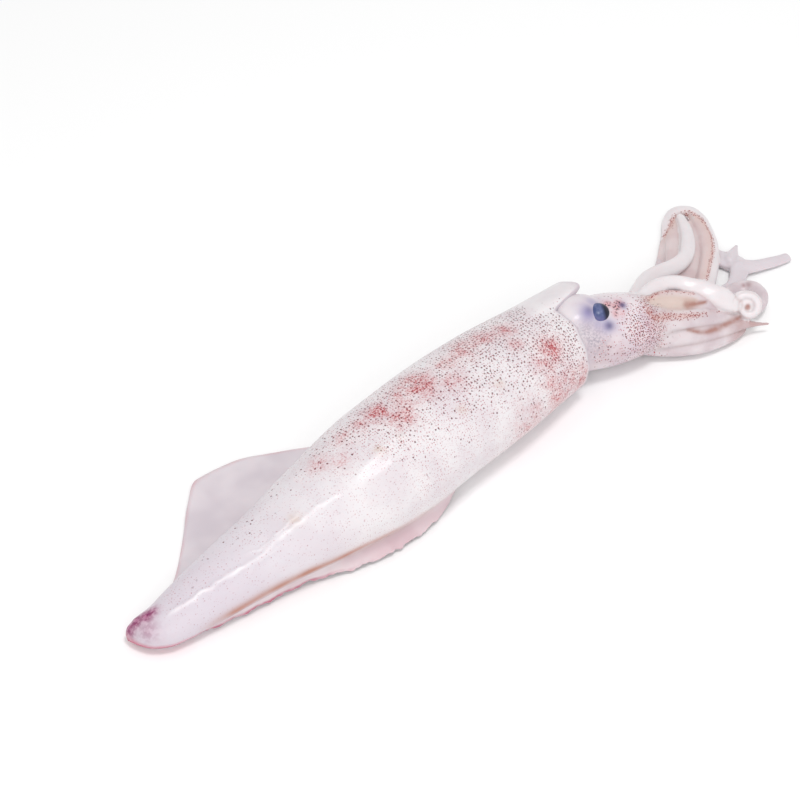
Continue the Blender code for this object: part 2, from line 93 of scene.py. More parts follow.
def smooth_value(stations, x):
    """Read a smooth curve through (x, value) stations, with no overshoot between them."""
    xs, values = np.array(stations, float).T
    slopes = np.diff(values) / np.diff(xs)
    before, after = slopes[:-1], slopes[1:]
    turns = before * after <= 0
    inner = np.where(turns, 0, 2 * before * after / np.where(turns, 1, before + after))
    tangents = np.concatenate([slopes[:1], inner, slopes[-1:]])
    x = np.clip(x, xs[0], xs[-1])
    i = np.clip(np.searchsorted(xs, x) - 1, 0, len(xs) - 2)
    step = xs[i + 1] - xs[i]
    t = (x - xs[i]) / step
    return (values[i] * (1 + 2 * t) * (1 - t) ** 2 + tangents[i] * step * t * (1 - t) ** 2
            + values[i + 1] * t * t * (3 - 2 * t) - tangents[i + 1] * step * t * t * (1 - t))


def on_part(points):
    """Millimetre places on the squid as it lies, as places in the frame."""
    return np.asarray(points, float) * MM + (TAIL_X, BODY_LINE_Y, 0.0)


def places(piece):
    """Where a piece's points are, in millimetres on the squid."""
    rows = np.empty(len(piece.data.vertices) * 3)
    piece.data.vertices.foreach_get("co", rows)
    return (rows.reshape(-1, 3) - (TAIL_X, BODY_LINE_Y, 0.0)) / MM


def put(piece, points):
    """Move a piece's points to places given in millimetres on the squid."""
    piece.data.vertices.foreach_set("co", on_part(points).ravel())
    piece.data.update()


def roll_skin(name, rows, sides, surface):
    """Roll a flat grid into a tube of skin: surface(along, round) gives places in millimetres."""
    bpy.ops.object.select_all(action='DESELECT')
    bpy.ops.mesh.primitive_grid_add(x_subdivisions=rows, y_subdivisions=sides, size=1.0)
    tube = bpy.context.object
    tube.name = name
    flat = np.array([v.co for v in tube.data.vertices])
    put(tube, surface(flat[:, 0] + 0.5, flat[:, 1] + 0.5))
    bpy.ops.object.mode_set(mode='EDIT')
    bpy.ops.mesh.select_all(action='SELECT')
    bpy.ops.mesh.remove_doubles(threshold=0.00001)
    bpy.ops.mesh.normals_make_consistent(inside=False)
    bpy.ops.object.mode_set(mode='OBJECT')
    return tube


def fade(values, none_at, full_at):
    """How far values have come from none_at, where this gives 0, to full_at, where it gives 1."""
    return np.clip((values - none_at) / (full_at - none_at), 0.0, 1.0)


def grain(points, size, seed=0.0):
    """Smooth unevenness between -1 and 1 at each place, with lumps of a size in millimetres."""
    return np.array([noise.noise(Vector(p) / size + Vector((seed, seed, seed))) for p in points])


def collar_front(degrees):
    """How far along the body the collar's edge is, at an angle round the opening."""
    turned = (degrees + 180.0) % 360.0 - 180.0
    off_lobe = np.abs(turned - COLLAR_LOBE_AT) / COLLAR_LOBE_SPREAD
    lobe = COLLAR_LOBE * np.exp(-off_lobe ** COLLAR_LOBE_SQUARENESS)
    lip = COLLAR_LIP * np.exp(-((turned - COLLAR_LIP_AT) / COLLAR_LIP_SPREAD) ** 2)
    wave = COLLAR_WAVE * (np.sin(np.radians(5 * turned + 40)) + 0.7 * np.sin(np.radians(13 * turned)))
    return COLLAR_FRONT + lobe + lip + wave


def mantle_surface(along, round_):
    """The mantle's skin, its rows closer together at the tail."""
    angle = 2 * math.pi * round_
    x = MANTLE_LENGTH * (0.55 * along + 0.45 * along ** 2)
    width = smooth_value(MANTLE_HALF_WIDTH, x)
    height = width * HEIGHT_TO_WIDTH
    rise = np.sin(angle)
    rise = np.where(rise < 0, -np.minimum(UNDERSIDE_CUT * np.abs(rise) ** UNDERSIDE_POWER, 1.0), rise)
    lift = TAIL_LIFT * np.maximum(1 - x / TAIL_LIFT_LENGTH, 0.0) ** 2
    reach = np.maximum(x - COLLAR_STARTS, 0.0) / (MANTLE_LENGTH - COLLAR_STARTS)
    front = x + (collar_front(np.degrees(angle)) - MANTLE_LENGTH) * reach
    y = smooth_value(BODY_LINE, x) + width * np.cos(angle)
    return np.stack([front, y, height + height * rise + lift], axis=1)


def round_mantle(points):
    """The mantle's half width at each place, and the place's angle round the body in degrees."""
    half_width = smooth_value(MANTLE_HALF_WIDTH, points[:, 0])
    rise = (points[:, 2] - HEIGHT_TO_WIDTH * half_width) / HEIGHT_TO_WIDTH
    return half_width, np.degrees(np.arctan2(rise, points[:, 1] - smooth_value(BODY_LINE, points[:, 0])))


mantle = roll_skin("mantle", MANTLE_ROWS, MANTLE_SIDES, mantle_surface)
skin = places(mantle)
skin_x, skin_y, skin_z = skin.T
half_width, angle = round_mantle(skin)
outward = np.array([v.normal for v in mantle.data.vertices])
dents = 0.45 * grain(skin / (1.6, 1.0, 1.0), 16.0)
dents += 0.12 * fade(skin_x, 150, 90) * grain(skin / (5.0, 1.0, 1.0), 4.0, 7.0)
# Along the crest of each fold a near-white line is painted as a highlight, on top of the lamps' own.
painted_fold_highlight = np.zeros(len(skin))
for fold, high, wide in SKIN_FOLDS:
    off = np.radians(angle - smooth_value(fold, skin_x)) * half_width + 0.9 * grain(skin, 3.0, 6.0)
    inside = fade(np.minimum(skin_x - fold[0][0], fold[-1][0] - skin_x), 0, 6)
    dents += high * inside * np.exp(-(off / wide) ** 2)
    broken_line = np.clip(0.75 + 0.9 * grain(skin, 5.0, 31.0), 0.0, 1.0)
    white = broken_line * np.exp(-(off / (0.7 * wide)) ** 2)
    painted_fold_highlight = np.maximum(painted_fold_highlight, high / 0.6 * inside * white)
put(mantle, skin + outward * (dents * fade(skin_z, 0, 12) * fade(skin_x, 0, 12))[:, None])

bpy.ops.object.mode_set(mode='EDIT')
bpy.ops.mesh.select_mode(type='EDGE')
bpy.ops.mesh.select_all(action='DESELECT')
bpy.ops.mesh.select_non_manifold(extend=False)
opening = Vector(on_part((COLLAR_FRONT, *COLLAR_MIDDLE)))
radius = COLLAR_RADIUS
for step in range(LIP_STEPS):
    turn_a = math.pi * step / LIP_STEPS
    turn_b = math.pi * (step + 1) / LIP_STEPS
    ahead = COLLAR_WALL / 2 * (math.sin(turn_b) - math.sin(turn_a))
    shrink = COLLAR_WALL / 2 * (math.cos(turn_a) - math.cos(turn_b))
    bpy.ops.mesh.extrude_region_move(TRANSFORM_OT_translate={"value": (ahead * MM, 0, 0)})
    bpy.ops.transform.resize(value=(1, 1 - shrink / radius, 1 - shrink / radius), center_override=opening)
    radius -= shrink
floor = Vector(on_part((COLLAR_FLOOR, *COLLAR_MIDDLE)))
for left in range(INSIDE_STEPS, 0, -1):
    bpy.ops.mesh.extrude_region_move()
    bpy.ops.transform.resize(value=(1 - 1 / left, 1, 1), center_override=floor)
bpy.ops.mesh.extrude_region_move()
bpy.ops.mesh.merge(type='CENTER')
bpy.ops.mesh.select_all(action='SELECT')
bpy.ops.mesh.normals_make_consistent(inside=False)
bpy.ops.mesh.select_mode(type='VERT')
bpy.ops.object.mode_set(mode='OBJECT')
bpy.ops.object.shade_smooth()


def mark(piece, name, values):
    """Keep one number for each point of a piece, for its material to read."""
    piece.data.attributes.new(name, 'FLOAT', 'POINT').data.foreach_set("value", np.clip(values, 0.0, 1.0))


def spots_at(points, spots):
    """How strongly soft round spots of (X, Y, Z, radius, strength) cover each place."""
    cover = np.zeros(len(points))
    for x, y, z, size, strength in spots:
        away = np.linalg.norm(points - (x, y, z), axis=1) / size
        cover = np.maximum(cover, strength * np.exp(-away ** 2))
    return cover


def lay_map(piece, along, around):
    """Keep where each point is along and round a piece, in millimetres, so that spots lie flat on it."""
    flat = np.stack([along, around, 0 * along], axis=1)
    piece.data.attributes.new("on_skin", 'FLOAT_VECTOR', 'POINT').data.foreach_set("vector", flat.ravel())


# Bruised blotches of the skin, where the red spots are dense: middle, radius and strength.
BLOTCHES = ((132.5, 1.8, 36.5, 7, 1), (124, 2.5, 36, 5, 0.55), (113.5, 1.7, 35.6, 5, 0.9),
            (106, 1, 34, 4, 0.5), (118, -6.1, 36.7, 5, 0.8), (156.5, 5.4, 35.4, 5, 0.7),
            (143.5, -5.2, 36.9, 4.5, 0.65), (148, 4, 36.5, 4.5, 0.55), (160.5, 7.8, 34.5, 4.5, 0.75),
            (169, 7, 34.3, 4.5, 0.7), (177.5, 5.3, 33.8, 4.5, 0.7), (176, -3.9, 34.4, 3, 0.8),
            (186.5, -11.6, 30.5, 5.5, 0.85), (180, -15.5, 29.5, 5, 0.6), (179, -20.8, 24, 5.5, 0.5),
            (187, -20, 20, 6, 0.6), (164.5, -24.8, 17, 8, 0.5), (182.5, -22.2, 15.8, 8, 0.75),
            (196, -19.7, 15.5, 6, 0.8), (97.5, 1.2, 32.7, 4, 0.5), (84.5, -0.4, 30.3, 4, 0.5),
            (90, -6, 32, 4, 0.35), (124, -1, 36, 6, 0.5))
OCHRE_FLECKS = ((102.5, -12.6, 34.2, 2, 0.7), (65, -11.7, 25.2, 2.6, 0.55), (157.5, -14.5, 33.4, 2, 0.5),
                (138, -16.3, 34.4, 1.8, 0.6), (112, -13, 35, 1.6, 0.4))
TAIL_BRUISE = ((1.4, -0.6, 7, 3.2, 0.95), (4.2, -1.5, 9.4, 2.9, 1), (7.4, -2.8, 11.2, 3, 1),
               (9.4, -3, 11.9, 2.4, 0.9), (5, -7, 9.5, 4, 0.35))

# How dense the small and the dark spots are along the body, from the tail to the collar.
SMALL_SPOTS_ALONG = ((0, 0.25), (60, 0.3), (90, 0.55), (125, 0.85), (196, 0.95))
DARK_SPOTS_ALONG = ((0, 0.0), (60, 0.02), (85, 0.1), (110, 0.35), (140, 0.62), (170, 0.9), (196, 1.1))
MAP_MIDDLE = 120.0
MAP_ROUNDNESS = 0.88
CREASE_HEIGHT = ((0, 2.5), (20, 4.6), (40, 6.4), (70, 8.2), (130, 9))

skin = places(mantle)
skin_x, skin_y, skin_z = skin.T
mark(mantle, "painted_fold_highlight", np.append(painted_fold_highlight, np.zeros(len(skin) - len(painted_fold_highlight))))
half_width, angle = round_mantle(skin)
from_top = np.radians((angle - MAP_MIDDLE + 180.0) % 360.0 - 180.0)
lay_map(mantle, skin_x, from_top * MAP_ROUNDNESS * half_width)
share_out = np.hypot((skin_y - smooth_value(BODY_LINE, skin_x)) / np.maximum(half_width, 1.0),
                     skin_z / np.maximum(HEIGHT_TO_WIDTH * half_width, 1.0) - 1.0)
outside = (share_out > 0.95) | (skin_x < 180)
past_collar = skin_x - collar_front(angle)
edge_clear = fade(past_collar, 0.5, -1.0) * outside * fade(skin_x, 9, 14)
clear = edge_clear * (1 - np.exp(-((angle - COLLAR_LOBE_AT) / 38.0) ** 4) * fade(skin_x, 188, 197))
patchy = 0.8 + 0.45 * grain(skin, 22.0, 3.0)
top_side = np.exp(-((angle - 75.0) / 55.0) ** 2)
far_edge = np.exp(-((angle - 60.0) / 20.0) ** 2)
to_collar = fade(skin_x, 138, 186)
near_side = fade(angle % 360, 104 + 24 * to_collar, 138 + 50 * to_collar) * (angle % 360 < 270)
belly = fade(skin_z, 10, 1)
small_share = smooth_value(SMALL_SPOTS_ALONG, skin_x) * (1 - 0.5 * belly) * (1 - 0.4 * near_side)
dark_share = smooth_value(DARK_SPOTS_ALONG, skin_x) * (0.8 + 0.2 * top_side + 0.25 * far_edge)
dark_share = dark_share * (1 - 0.78 * near_side) + 0.06 * top_side + 0.12 * far_edge * fade(skin_x, 20, 50)
cover = spots_at(skin, BLOTCHES)
mark(mantle, "spots", small_share * clear * patchy)
mark(mantle, "dark_spots", (dark_share * patchy * (1 - 0.75 * belly) + 0.4 * cover) * clear)
mark(mantle, "blush", cover * (0.85 + 0.9 * grain(skin, 3.0, 11.0)) * edge_clear)
mark(mantle, "ochre", spots_at(skin, OCHRE_FLECKS) * (0.7 + 0.8 * grain(skin, 1.6, 5.0)))
mark(mantle, "bruise", spots_at(skin, TAIL_BRUISE))
mark(mantle, "tail", fade(skin_x, 90, 30))
mark(mantle, "lip", fade(past_collar, -0.3, 0.5) + 1.0 * ~outside)
under_tail = fade(skin_z, 5.6, 3.2) * fade(skin_z, 0.4, 1.6) * fade(skin_x, 26, 12)
under_collar = np.exp(-((skin_z - 7.6) / 1.9) ** 2) * fade(skin_x, 130, 160) * (skin_y < 0)
mark(mantle, "pink_rim", under_tail + 0.75 * under_collar)
near_flank = fade(smooth_value(BODY_LINE, skin_x) - skin_y, 0, 6)
along_crease = fade(skin_x, 18, 32) * fade(skin_x, 126, 76)
on_crease = np.exp(-((skin_z - smooth_value(CREASE_HEIGHT, skin_x) - 1.2) / 2.4) ** 2)
mark(mantle, "crease", near_flank * along_crease * on_crease * (0.85 + 0.5 * grain(skin, 9.0, 15.0)))


def linear(hex_colour):
    """An sRGB hex colour as the linear values that a shader takes."""
    channels = [int(hex_colour[i:i + 2], 16) / 255 for i in (1, 3, 5)]
    return (*(c / 12.92 if c <= 0.04045 else ((c + 0.055) / 1.055) ** 2.4 for c in channels), 1.0)


def add_node(material, kind, sockets=(), **options):
    """Add one shader node, set its options, and fill its sockets with values or links."""
    node = material.node_tree.nodes.new(kind)
    for option, value in options.items():
        setattr(node, option, value)
    for socket, value in dict(sockets).items():
        if isinstance(value, bpy.types.NodeSocket):
            material.node_tree.links.new(value, node.inputs[socket])
        else:
            node.inputs[socket].default_value = value
    return node


def wet_flesh(name, roughness, see_through):
    """A new material whose shader is wet, slightly see-through flesh, and that shader."""
    material = bpy.data.materials.new(name)
    material.use_nodes = True
    shader = material.node_tree.nodes["Principled BSDF"]
    shader.inputs["Roughness"].default_value = roughness
    shader.inputs["IOR"].default_value = 1.38
    shader.inputs["Subsurface Weight"].default_value = see_through
    shader.inputs["Subsurface Radius"].default_value = (1.0, 0.7, 0.68)
    shader.inputs["Subsurface Scale"].default_value = 1.3 * MM
    shader.inputs["Coat Weight"].default_value = 0.3
    shader.inputs["Coat Roughness"].default_value = 0.12
    shader.inputs["Coat IOR"].default_value = 1.33
    return material, shader


def patches(material, where, size, detail, low, high, least=0.0, most=1.0):
    """Soft patches of a size in millimetres, from least where the noise is low to most where it is high."""
    cloud = add_node(material, "ShaderNodeTexNoise",
                     {"Vector": where, "Scale": 1 / (size * MM), "Detail": detail})
    step = add_node(material, "ShaderNodeMapRange", {0: cloud.outputs[0], 1: low, 2: high, 3: least, 4: most},
                    interpolation_type='SMOOTHSTEP')
    return step.outputs[0]


def stain(material, colour, stain_colour, cover, share=1.0):
    """Lay a colour over another as strongly as cover, a socket or the name of a mark, times share."""
    if isinstance(cover, str):
        cover = add_node(material, "ShaderNodeAttribute", attribute_name=cover).outputs["Fac"]
    if isinstance(stain_colour, str):
        stain_colour = linear(stain_colour)
    strength = add_node(material, "ShaderNodeMath", {0: cover, 1: share}, operation='MULTIPLY').outputs[0]
    mixed = add_node(material, "ShaderNodeMix", {0: strength, 6: colour, 7: stain_colour}, data_type='RGBA')
    return mixed.outputs[2]


def skin_spots(material, where, spacing, size, density, dimensions='2D'):
    """Round spots, in the units of where, each present where density passes its own random draw."""
    cells = add_node(material, "ShaderNodeTexVoronoi",
                     {"Vector": where, "Scale": 1 / spacing, "Randomness": 0.7},
                     feature='F1', voronoi_dimensions=dimensions)
    draw = add_node(material, "ShaderNodeSeparateColor", {0: cells.outputs["Color"]})
    passed = add_node(material, "ShaderNodeMath", {0: density, 1: draw.outputs[0]}, operation='SUBTRACT')
    present = add_node(material, "ShaderNodeMapRange", {0: passed.outputs[0], 1: 0.0, 2: 0.12},
                       interpolation_type='SMOOTHSTEP')
    radius = add_node(material, "ShaderNodeMath", {0: draw.outputs[1], 1: 0.5, 2: 0.75},
                      operation='MULTIPLY_ADD')
    away = add_node(material, "ShaderNodeMath", {0: cells.outputs["Distance"], 1: radius.outputs[0]},
                    operation='DIVIDE')
    edges = {0: away.outputs[0], 1: 1.25 * size / spacing, 2: 0.7 * size / spacing}
    disc = add_node(material, "ShaderNodeMapRange", edges, interpolation_type='SMOOTHSTEP')
    return add_node(material, "ShaderNodeMath", {0: disc.outputs[0], 1: present.outputs[0]},
                    operation='MULTIPLY').outputs[0]


def finish(material, shader, colour, where, grain_size, detail, strength):
    """Give the shader its colour, and a finely uneven surface with a grain in millimetres."""
    fine = add_node(material, "ShaderNodeTexNoise",
                    {"Vector": where, "Scale": 1 / (grain_size * MM), "Detail": detail})
    bump = add_node(material, "ShaderNodeBump",
                    {"Strength": strength, "Distance": SKIN_RELIEF * MM, "Height": fine.outputs[0]})
    material.node_tree.links.new(colour, shader.inputs["Base Color"])
    material.node_tree.links.new(bump.outputs[0], shader.inputs["Normal"])


# Raw squid skin: whitish flesh, with a wet film that gives soft highlights, under spots in three sizes
# and a painted highlight line along the tail's folds. The smallest are drawn 0.3 mm wide, a little
# coarser than life, so that they show.
DUST_SPACING = 0.62
DUST_SIZE = 0.15
SKIN_SPOT_SPACING = 0.95
SKIN_SPOT_SIZE = 0.19
DARK_SPOT_SPACING = 1.35
DARK_SPOT_SIZE = 0.29
SKIN_RELIEF = 0.12

material, shader = wet_flesh("raw squid mantle skin", 0.44, 0.25)
where = add_node(material, "ShaderNodeTexCoord").outputs["Object"]
on_skin = add_node(material, "ShaderNodeAttribute", attribute_name="on_skin").outputs["Vector"]
spots, blush, dark_spots = (add_node(material, "ShaderNodeAttribute", attribute_name=name).outputs["Fac"]
                            for name in ("spots", "blush", "dark_spots"))
colour = stain(material, linear("#e5e0e2"), "#dcd4d8", patches(material, where, 14, 3, 0.35, 0.7))
colour = stain(material, colour, "#d3c9d3", "tail", 0.8)
colour = stain(material, colour, "#bfb2bc", "lip", 0.7)
colour = stain(material, colour, "#d99090", blush, 0.5)
colour = stain(material, colour, "#b0242d", blush, patches(material, where, 0.75, 3, 0.45, 0.6))
dust = skin_spots(material, on_skin, DUST_SPACING, DUST_SIZE, spots)
colour = stain(material, colour, "#b98a97", dust, 0.4)
more = add_node(material, "ShaderNodeMath", {0: spots, 1: blush}, operation='MAXIMUM').outputs[0]
small = skin_spots(material, on_skin, SKIN_SPOT_SPACING, SKIN_SPOT_SIZE, more)
small_strength = add_node(material, "ShaderNodeMapRange", {0: more, 1: 0.2, 2: 0.8, 3: 0.45, 4: 0.85},
                          interpolation_type='SMOOTHSTEP').outputs[0]
small_red = stain(material, linear("#a53c50"), "#a3202b", blush)
colour = stain(material, colour, small_red, small, small_strength)
dark = skin_spots(material, on_skin, DARK_SPOT_SPACING, DARK_SPOT_SIZE, dark_spots)
dark_red = stain(material, linear("#5e0a1e"), "#86141f", blush)
colour = stain(material, colour, dark_red, dark, 0.92)
colour = stain(material, colour, "#c08f5c", "ochre", 0.7)
colour = stain(material, colour, "#b4638c", "bruise", 0.9)
colour = stain(material, colour, "#7f1a58", "bruise", patches(material, where, 1.6, 4, 0.36, 0.6))
colour = stain(material, colour, "#c4607a", "pink_rim", 0.9)
colour = stain(material, colour, "#b4745c", "crease", 0.95)
# Painted highlight: a near-white line along the crests of the tail's folds.
colour = stain(material, colour, "#fdfafc", "painted_fold_highlight", 0.6)
finish(material, shader, colour, where, 1.6, 4, 0.25)
mantle.data.materials.append(material)
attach(mantle, "root")
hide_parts("squid")

# The far fin is a thin, smooth leaf of muscle, spread on the surface beyond the body. It grows out
# of the mantle's flank, and is thickest there.
FAR_FIN_EDGE = ((9, -1), (18, 4), (29, 12), (42, 25), (53, 37), (62, 44), (76, 43), (94, 36),
                (110, 27), (122, 18), (131, 10))
FIN_ROOT_THICKNESS = 3.2
FIN_EDGE_THICKNESS = 1.2
FIN_THINNING = 0.65
FIN_LOWEST = 0.05
FAR_FIN_ROOT = 0.35
FAR_FIN_RISE = 2.3
FAR_FIN_SLOPE = 14.0
FAR_FIN_SLOPE_POWER = 1.3
FAR_FIN_WAVE = 0.4
FAR_FIN_WAVE_LENGTH = 70.0
FAR_FIN_RIPPLE = 0.16
FAR_FIN_ROWS = 150
FAR_FIN_STRIPS = 56


def fin_leaf(name, rows, strips, surface):
    """A flat grid shaped into a leaf, thickened from its middle and rounded at its edge."""
    bpy.ops.object.select_all(action='DESELECT')
    bpy.ops.mesh.primitive_grid_add(x_subdivisions=rows, y_subdivisions=strips, size=1.0)
    leaf = bpy.context.object
    leaf.name = name
    flat = np.array([v.co for v in leaf.data.vertices])
    middle, thick, rim, root = surface(flat[:, 0] + 0.5, flat[:, 1] + 0.5)
    put(leaf, middle)
    mark(leaf, "rim", rim)
    mark(leaf, "root", root)
    thickness = leaf.vertex_groups.new(name="thickness")
    for i, share in enumerate(thick / FIN_ROOT_THICKNESS):
        thickness.add([i], float(share), 'REPLACE')
    wall = leaf.modifiers.new("wall", 'SOLIDIFY')
    wall.thickness = FIN_ROOT_THICKNESS * MM
    wall.offset = 0.0
    wall.vertex_group = "thickness"
    bpy.ops.object.modifier_apply(modifier="wall")
    bpy.ops.object.mode_set(mode='EDIT')
    bpy.ops.mesh.select_all(action='SELECT')
    bpy.ops.mesh.normals_make_consistent(inside=False)
    bpy.ops.object.mode_set(mode='OBJECT')
    bpy.ops.object.shade_smooth()
    leaf_points = places(leaf)
    leaf_points[:, 2] = np.maximum(leaf_points[:, 2], FIN_LOWEST)
    put(leaf, leaf_points)
    return leaf


def fin_thickness(share):
    """How thick a fin is at a share of its reach, thinning to a rounded edge."""
    body = FIN_ROOT_THICKNESS + (FIN_EDGE_THICKNESS - FIN_ROOT_THICKNESS) * share ** FIN_THINNING
    return body * np.sqrt(np.clip((1.0 - share) / 0.03, 0.02, 1.0))


def far_fin_surface(along, across):
    """The middle of the far fin's wall, and its thickness."""
    x = FAR_FIN_EDGE[0][0] + (FAR_FIN_EDGE[-1][0] - FAR_FIN_EDGE[0][0]) * along
    root = smooth_value(BODY_LINE, x) + FAR_FIN_ROOT * smooth_value(MANTLE_HALF_WIDTH, x)
    reach = np.maximum(smooth_value(FAR_FIN_EDGE, x) - root, 1.0)
    thick = fin_thickness(across)
    out = reach * across
    slope = FAR_FIN_RISE * np.maximum(1 - out / FAR_FIN_SLOPE, 0.0) ** FAR_FIN_SLOPE_POWER
    wave = FAR_FIN_WAVE * across * (1 + np.sin(2 * math.pi * x / FAR_FIN_WAVE_LENGTH + 2 * across))
    low = slope + wave * np.minimum(reach / FAR_FIN_SLOPE, 1.0)
    body = FIN_ROOT_THICKNESS + (FIN_EDGE_THICKNESS - FIN_ROOT_THICKNESS) * across ** FIN_THINNING
    middle = np.stack([x, root + out, low + 0.1 + body / 2], axis=1)
    ripple = FAR_FIN_RIPPLE * (grain(middle, 9.0, 2.0) + 1.0)
    middle[:, 2] += np.clip(across * 3, 0, 1) * ripple
    rim = fade(reach * (1 - across), 2.2, 0) * (0.6 + 0.8 * grain(middle, 8.0, 4.0))
    return middle, thick, rim, fade(middle[:, 1], 12, -2)


far_fin = fin_leaf("far_fin", FAR_FIN_ROWS, FAR_FIN_STRIPS, far_fin_surface)


# Raw squid fin: bare muscle that is smooth, greyish and slightly see-through, with a wet shine.
def fin_flesh(name, base_hex, shade_hex, rim_hex):
    """Fin flesh in two clouded tones, browner along its root and with a coloured edge."""
    material, shader = wet_flesh(name, 0.32, 0.25)
    where = add_node(material, "ShaderNodeTexCoord").outputs["Object"]
    colour = stain(material, linear(base_hex), shade_hex, patches(material, where, 16, 2, 0.3, 0.7))
    colour = stain(material, colour, "#c09078", "root", 0.6)
    colour = stain(material, colour, rim_hex, "rim", 0.9)
    finish(material, shader, colour, where, 2.2, 3, 0.2)
    return material


far_fin.data.materials.append(fin_flesh("raw squid fin", "#dad1d6", "#cdc3ca", "#d2a9b0"))
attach(far_fin, "root")
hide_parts("squid")

# The near fin is the same thin leaf of muscle on the other flank. It hangs from a crease along
# the body, and its pink, ruffled edge rests on the surface.
NEAR_FIN_EDGE = ((4, -7), (9, -10.8), (20, -14.2), (34, -17), (62, -20.8), (82, -27.5), (96, -29.8),
                 (108, -29.8), (120, -27), (129, -22))
NEAR_FIN_ROOT = 0.86
NEAR_FIN_OVERLAP = 2.4
NEAR_FIN_CREASE = 8.0
NEAR_FIN_FOOT = 1.5
NEAR_FIN_SPREAD = 1.25
NEAR_FIN_DROP = 1.15
RUFFLE_HEIGHT = 0.55
RUFFLE_LIFT = 0.7
RUFFLE_LENGTH = 10.0
RUFFLE_FADE = 12.0
NEAR_FIN_FRAY = 0.9
NEAR_FIN_TINT = 0.24
PINK_ALONG = ((4, 0.7), (20, 1), (66, 0.9), (76, 0.25), (129, 0.2))
NEAR_FIN_ROWS = 240
NEAR_FIN_STRIPS = 36


def near_fin_surface(along, across):
    """The middle of the near fin's wall, and its thickness."""
    start, end = NEAR_FIN_EDGE[0][0], NEAR_FIN_EDGE[-1][0]
    x = start + (end - start) * along
    width = smooth_value(MANTLE_HALF_WIDTH, x)
    side = smooth_value(BODY_LINE, x) - NEAR_FIN_ROOT * width
    edge = smooth_value(NEAR_FIN_EDGE, x)
    crease = np.minimum(NEAR_FIN_CREASE, NEAR_FIN_ROOT * HEIGHT_TO_WIDTH * width)
    calm = np.minimum(np.minimum((x - start) / RUFFLE_FADE, (end - x) / RUFFLE_FADE), 1.0)
    on_edge = np.stack([x, 0 * x, 0 * x], axis=1)
    uneven = np.sin(2 * math.pi * x / RUFFLE_LENGTH) + 1.2 * grain(on_edge, 5.0, 1.0)
    ruffle = RUFFLE_HEIGHT * calm * (RUFFLE_LIFT + uneven)
    y = side + NEAR_FIN_OVERLAP * (1 - across) + (edge - side) * across ** NEAR_FIN_SPREAD
    y = y + NEAR_FIN_FRAY * across ** 6 * calm * grain(on_edge, 2.2, 8.0)
    z = NEAR_FIN_FOOT + (crease - NEAR_FIN_FOOT) * (1 - across) ** NEAR_FIN_DROP + ruffle * across ** 3
    middle = np.stack([x, y, z], axis=1)
    rim = fade(across, 0.74, 0.9) * smooth_value(PINK_ALONG, x) * (0.9 + 0.9 * grain(middle, 2.5, 4.0))
    rim = np.maximum(rim, NEAR_FIN_TINT * fade(x, 70, 90) * fade(across, 0, 0.5))
    along_root = np.maximum(fade(x, 18, 38), 0.1) * fade(x, 129, 69)
    return middle, fin_thickness(across), rim, np.exp(-((across - 0.2) / 0.14) ** 2) * along_root


near_fin = fin_leaf("near_fin", NEAR_FIN_ROWS, NEAR_FIN_STRIPS, near_fin_surface)
near_fin.data.materials.append(fin_flesh("raw squid fin edge", "#e2d7da", "#d5c3c8", "#b85f78"))
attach(near_fin, "root")
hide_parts("squid")

# The head comes out of the collar as one soft form with the funnel's swelling, and splits into the
# eight arms and the two longer tentacles. All are firm white flesh under thin skin.
HEAD_STATIONS = ((184, 0, 16.5, 11, 10), (196, -0.5, 16, 12.4, 11.4), (205, -1.5, 15.6, 13.4, 12.6),
                 (213, -3, 15.4, 14.2, 13.8), (222, -6, 15.1, 14.6, 14.2), (231, -9.5, 14.4, 13.4, 13.2),
                 (239, -12.5, 13.2, 11, 11.4), (247, -16, 12, 8, 8.6), (258, -21, 10, 3.6, 4))
FUNNEL_MIDDLE = (211.6, -0.6, 22.6)
FUNNEL_RADII = (12.4, 10.8, 9.2)
UPPER_ARM = ((232, -8, 15.5, 3.4), (240, -7.5, 19, 4), (249, -5.7, 20.4, 3.3), (257.3, -7.6, 20, 3.1),
             (262.6, -13, 18.6, 3.5), (267, -19, 16.4, 4.4), (270.5, -24.5, 14.2, 4.2),
             (273.6, -27.8, 12.2, 3))
LEFT_TOP_ARM = ((230, -10, 16, 3.4), (238, -12, 19.8, 4.3), (247, -12.8, 19.3, 4.4), (256, -16.5, 17, 3.9),
                (265, -21.5, 13.5, 3.2), (271, -26, 10, 2.4), (275, -29, 7, 1.5))
SIDE_ARM = ((230, -11, 14.5, 3.4), (238, -17, 16, 4.1), (246, -20, 15.4, 4.1), (255, -23.5, 13.5, 3.7),
            (264, -27, 10.5, 3), (271, -29.5, 7, 2.2), (277, -33, 4, 1.2))
LOW_SIDE_ARM = ((229, -11, 11, 3.4), (237, -18, 10.2, 4), (245, -22.3, 9.4, 4), (254, -27, 8.4, 3.5),
                (264, -30.5, 7, 2.6), (272, -32.5, 6, 1.8), (278, -35.5, 5.2, 1.1), (283, -38.5, 4.6, 0.5))
LOWEST_ARM = ((229, -9, 7.5, 3.4), (236, -16, 5.4, 4), (244, -22.5, 4.4, 4), (253, -28.3, 4, 3.7),
              (263, -31.5, 3.4, 3), (271, -32.5, 2.6, 2.1), (276, -32, 1.8, 1.2))
ARCH_ARM = ((236, -10, 8.5, 3.4), (250, -9, 5.5, 4), (264, -10, 4, 4), (276, -8, 3.6, 4.1),
            (287, -1, 3.4, 4.2), (297, 7, 3.4, 4.1), (305.5, 17, 3.2, 3.9), (311, 28, 3, 3.6),
            (309, 34.5, 2.8, 3.1), (303, 34, 2.6, 2.7), (294, 27.5, 2.2, 2.3), (283, 20, 1.8, 1.8),
            (273, 13.5, 1.4, 1.2))
INNER_ARM = ((234, -7, 14, 3.4), (244, -1.5, 14, 4.1), (252, 3, 12.6, 3.9), (260, 6.4, 11, 3.6),
             (268, 7, 9.8, 3.4), (275.8, 6.4, 8.9, 3.3), (283.8, 8.6, 8.1, 3.2), (291.2, 14, 7.1, 3.1),
             (298.2, 21.6, 6.2, 2.8), (304, 29.6, 5, 2))
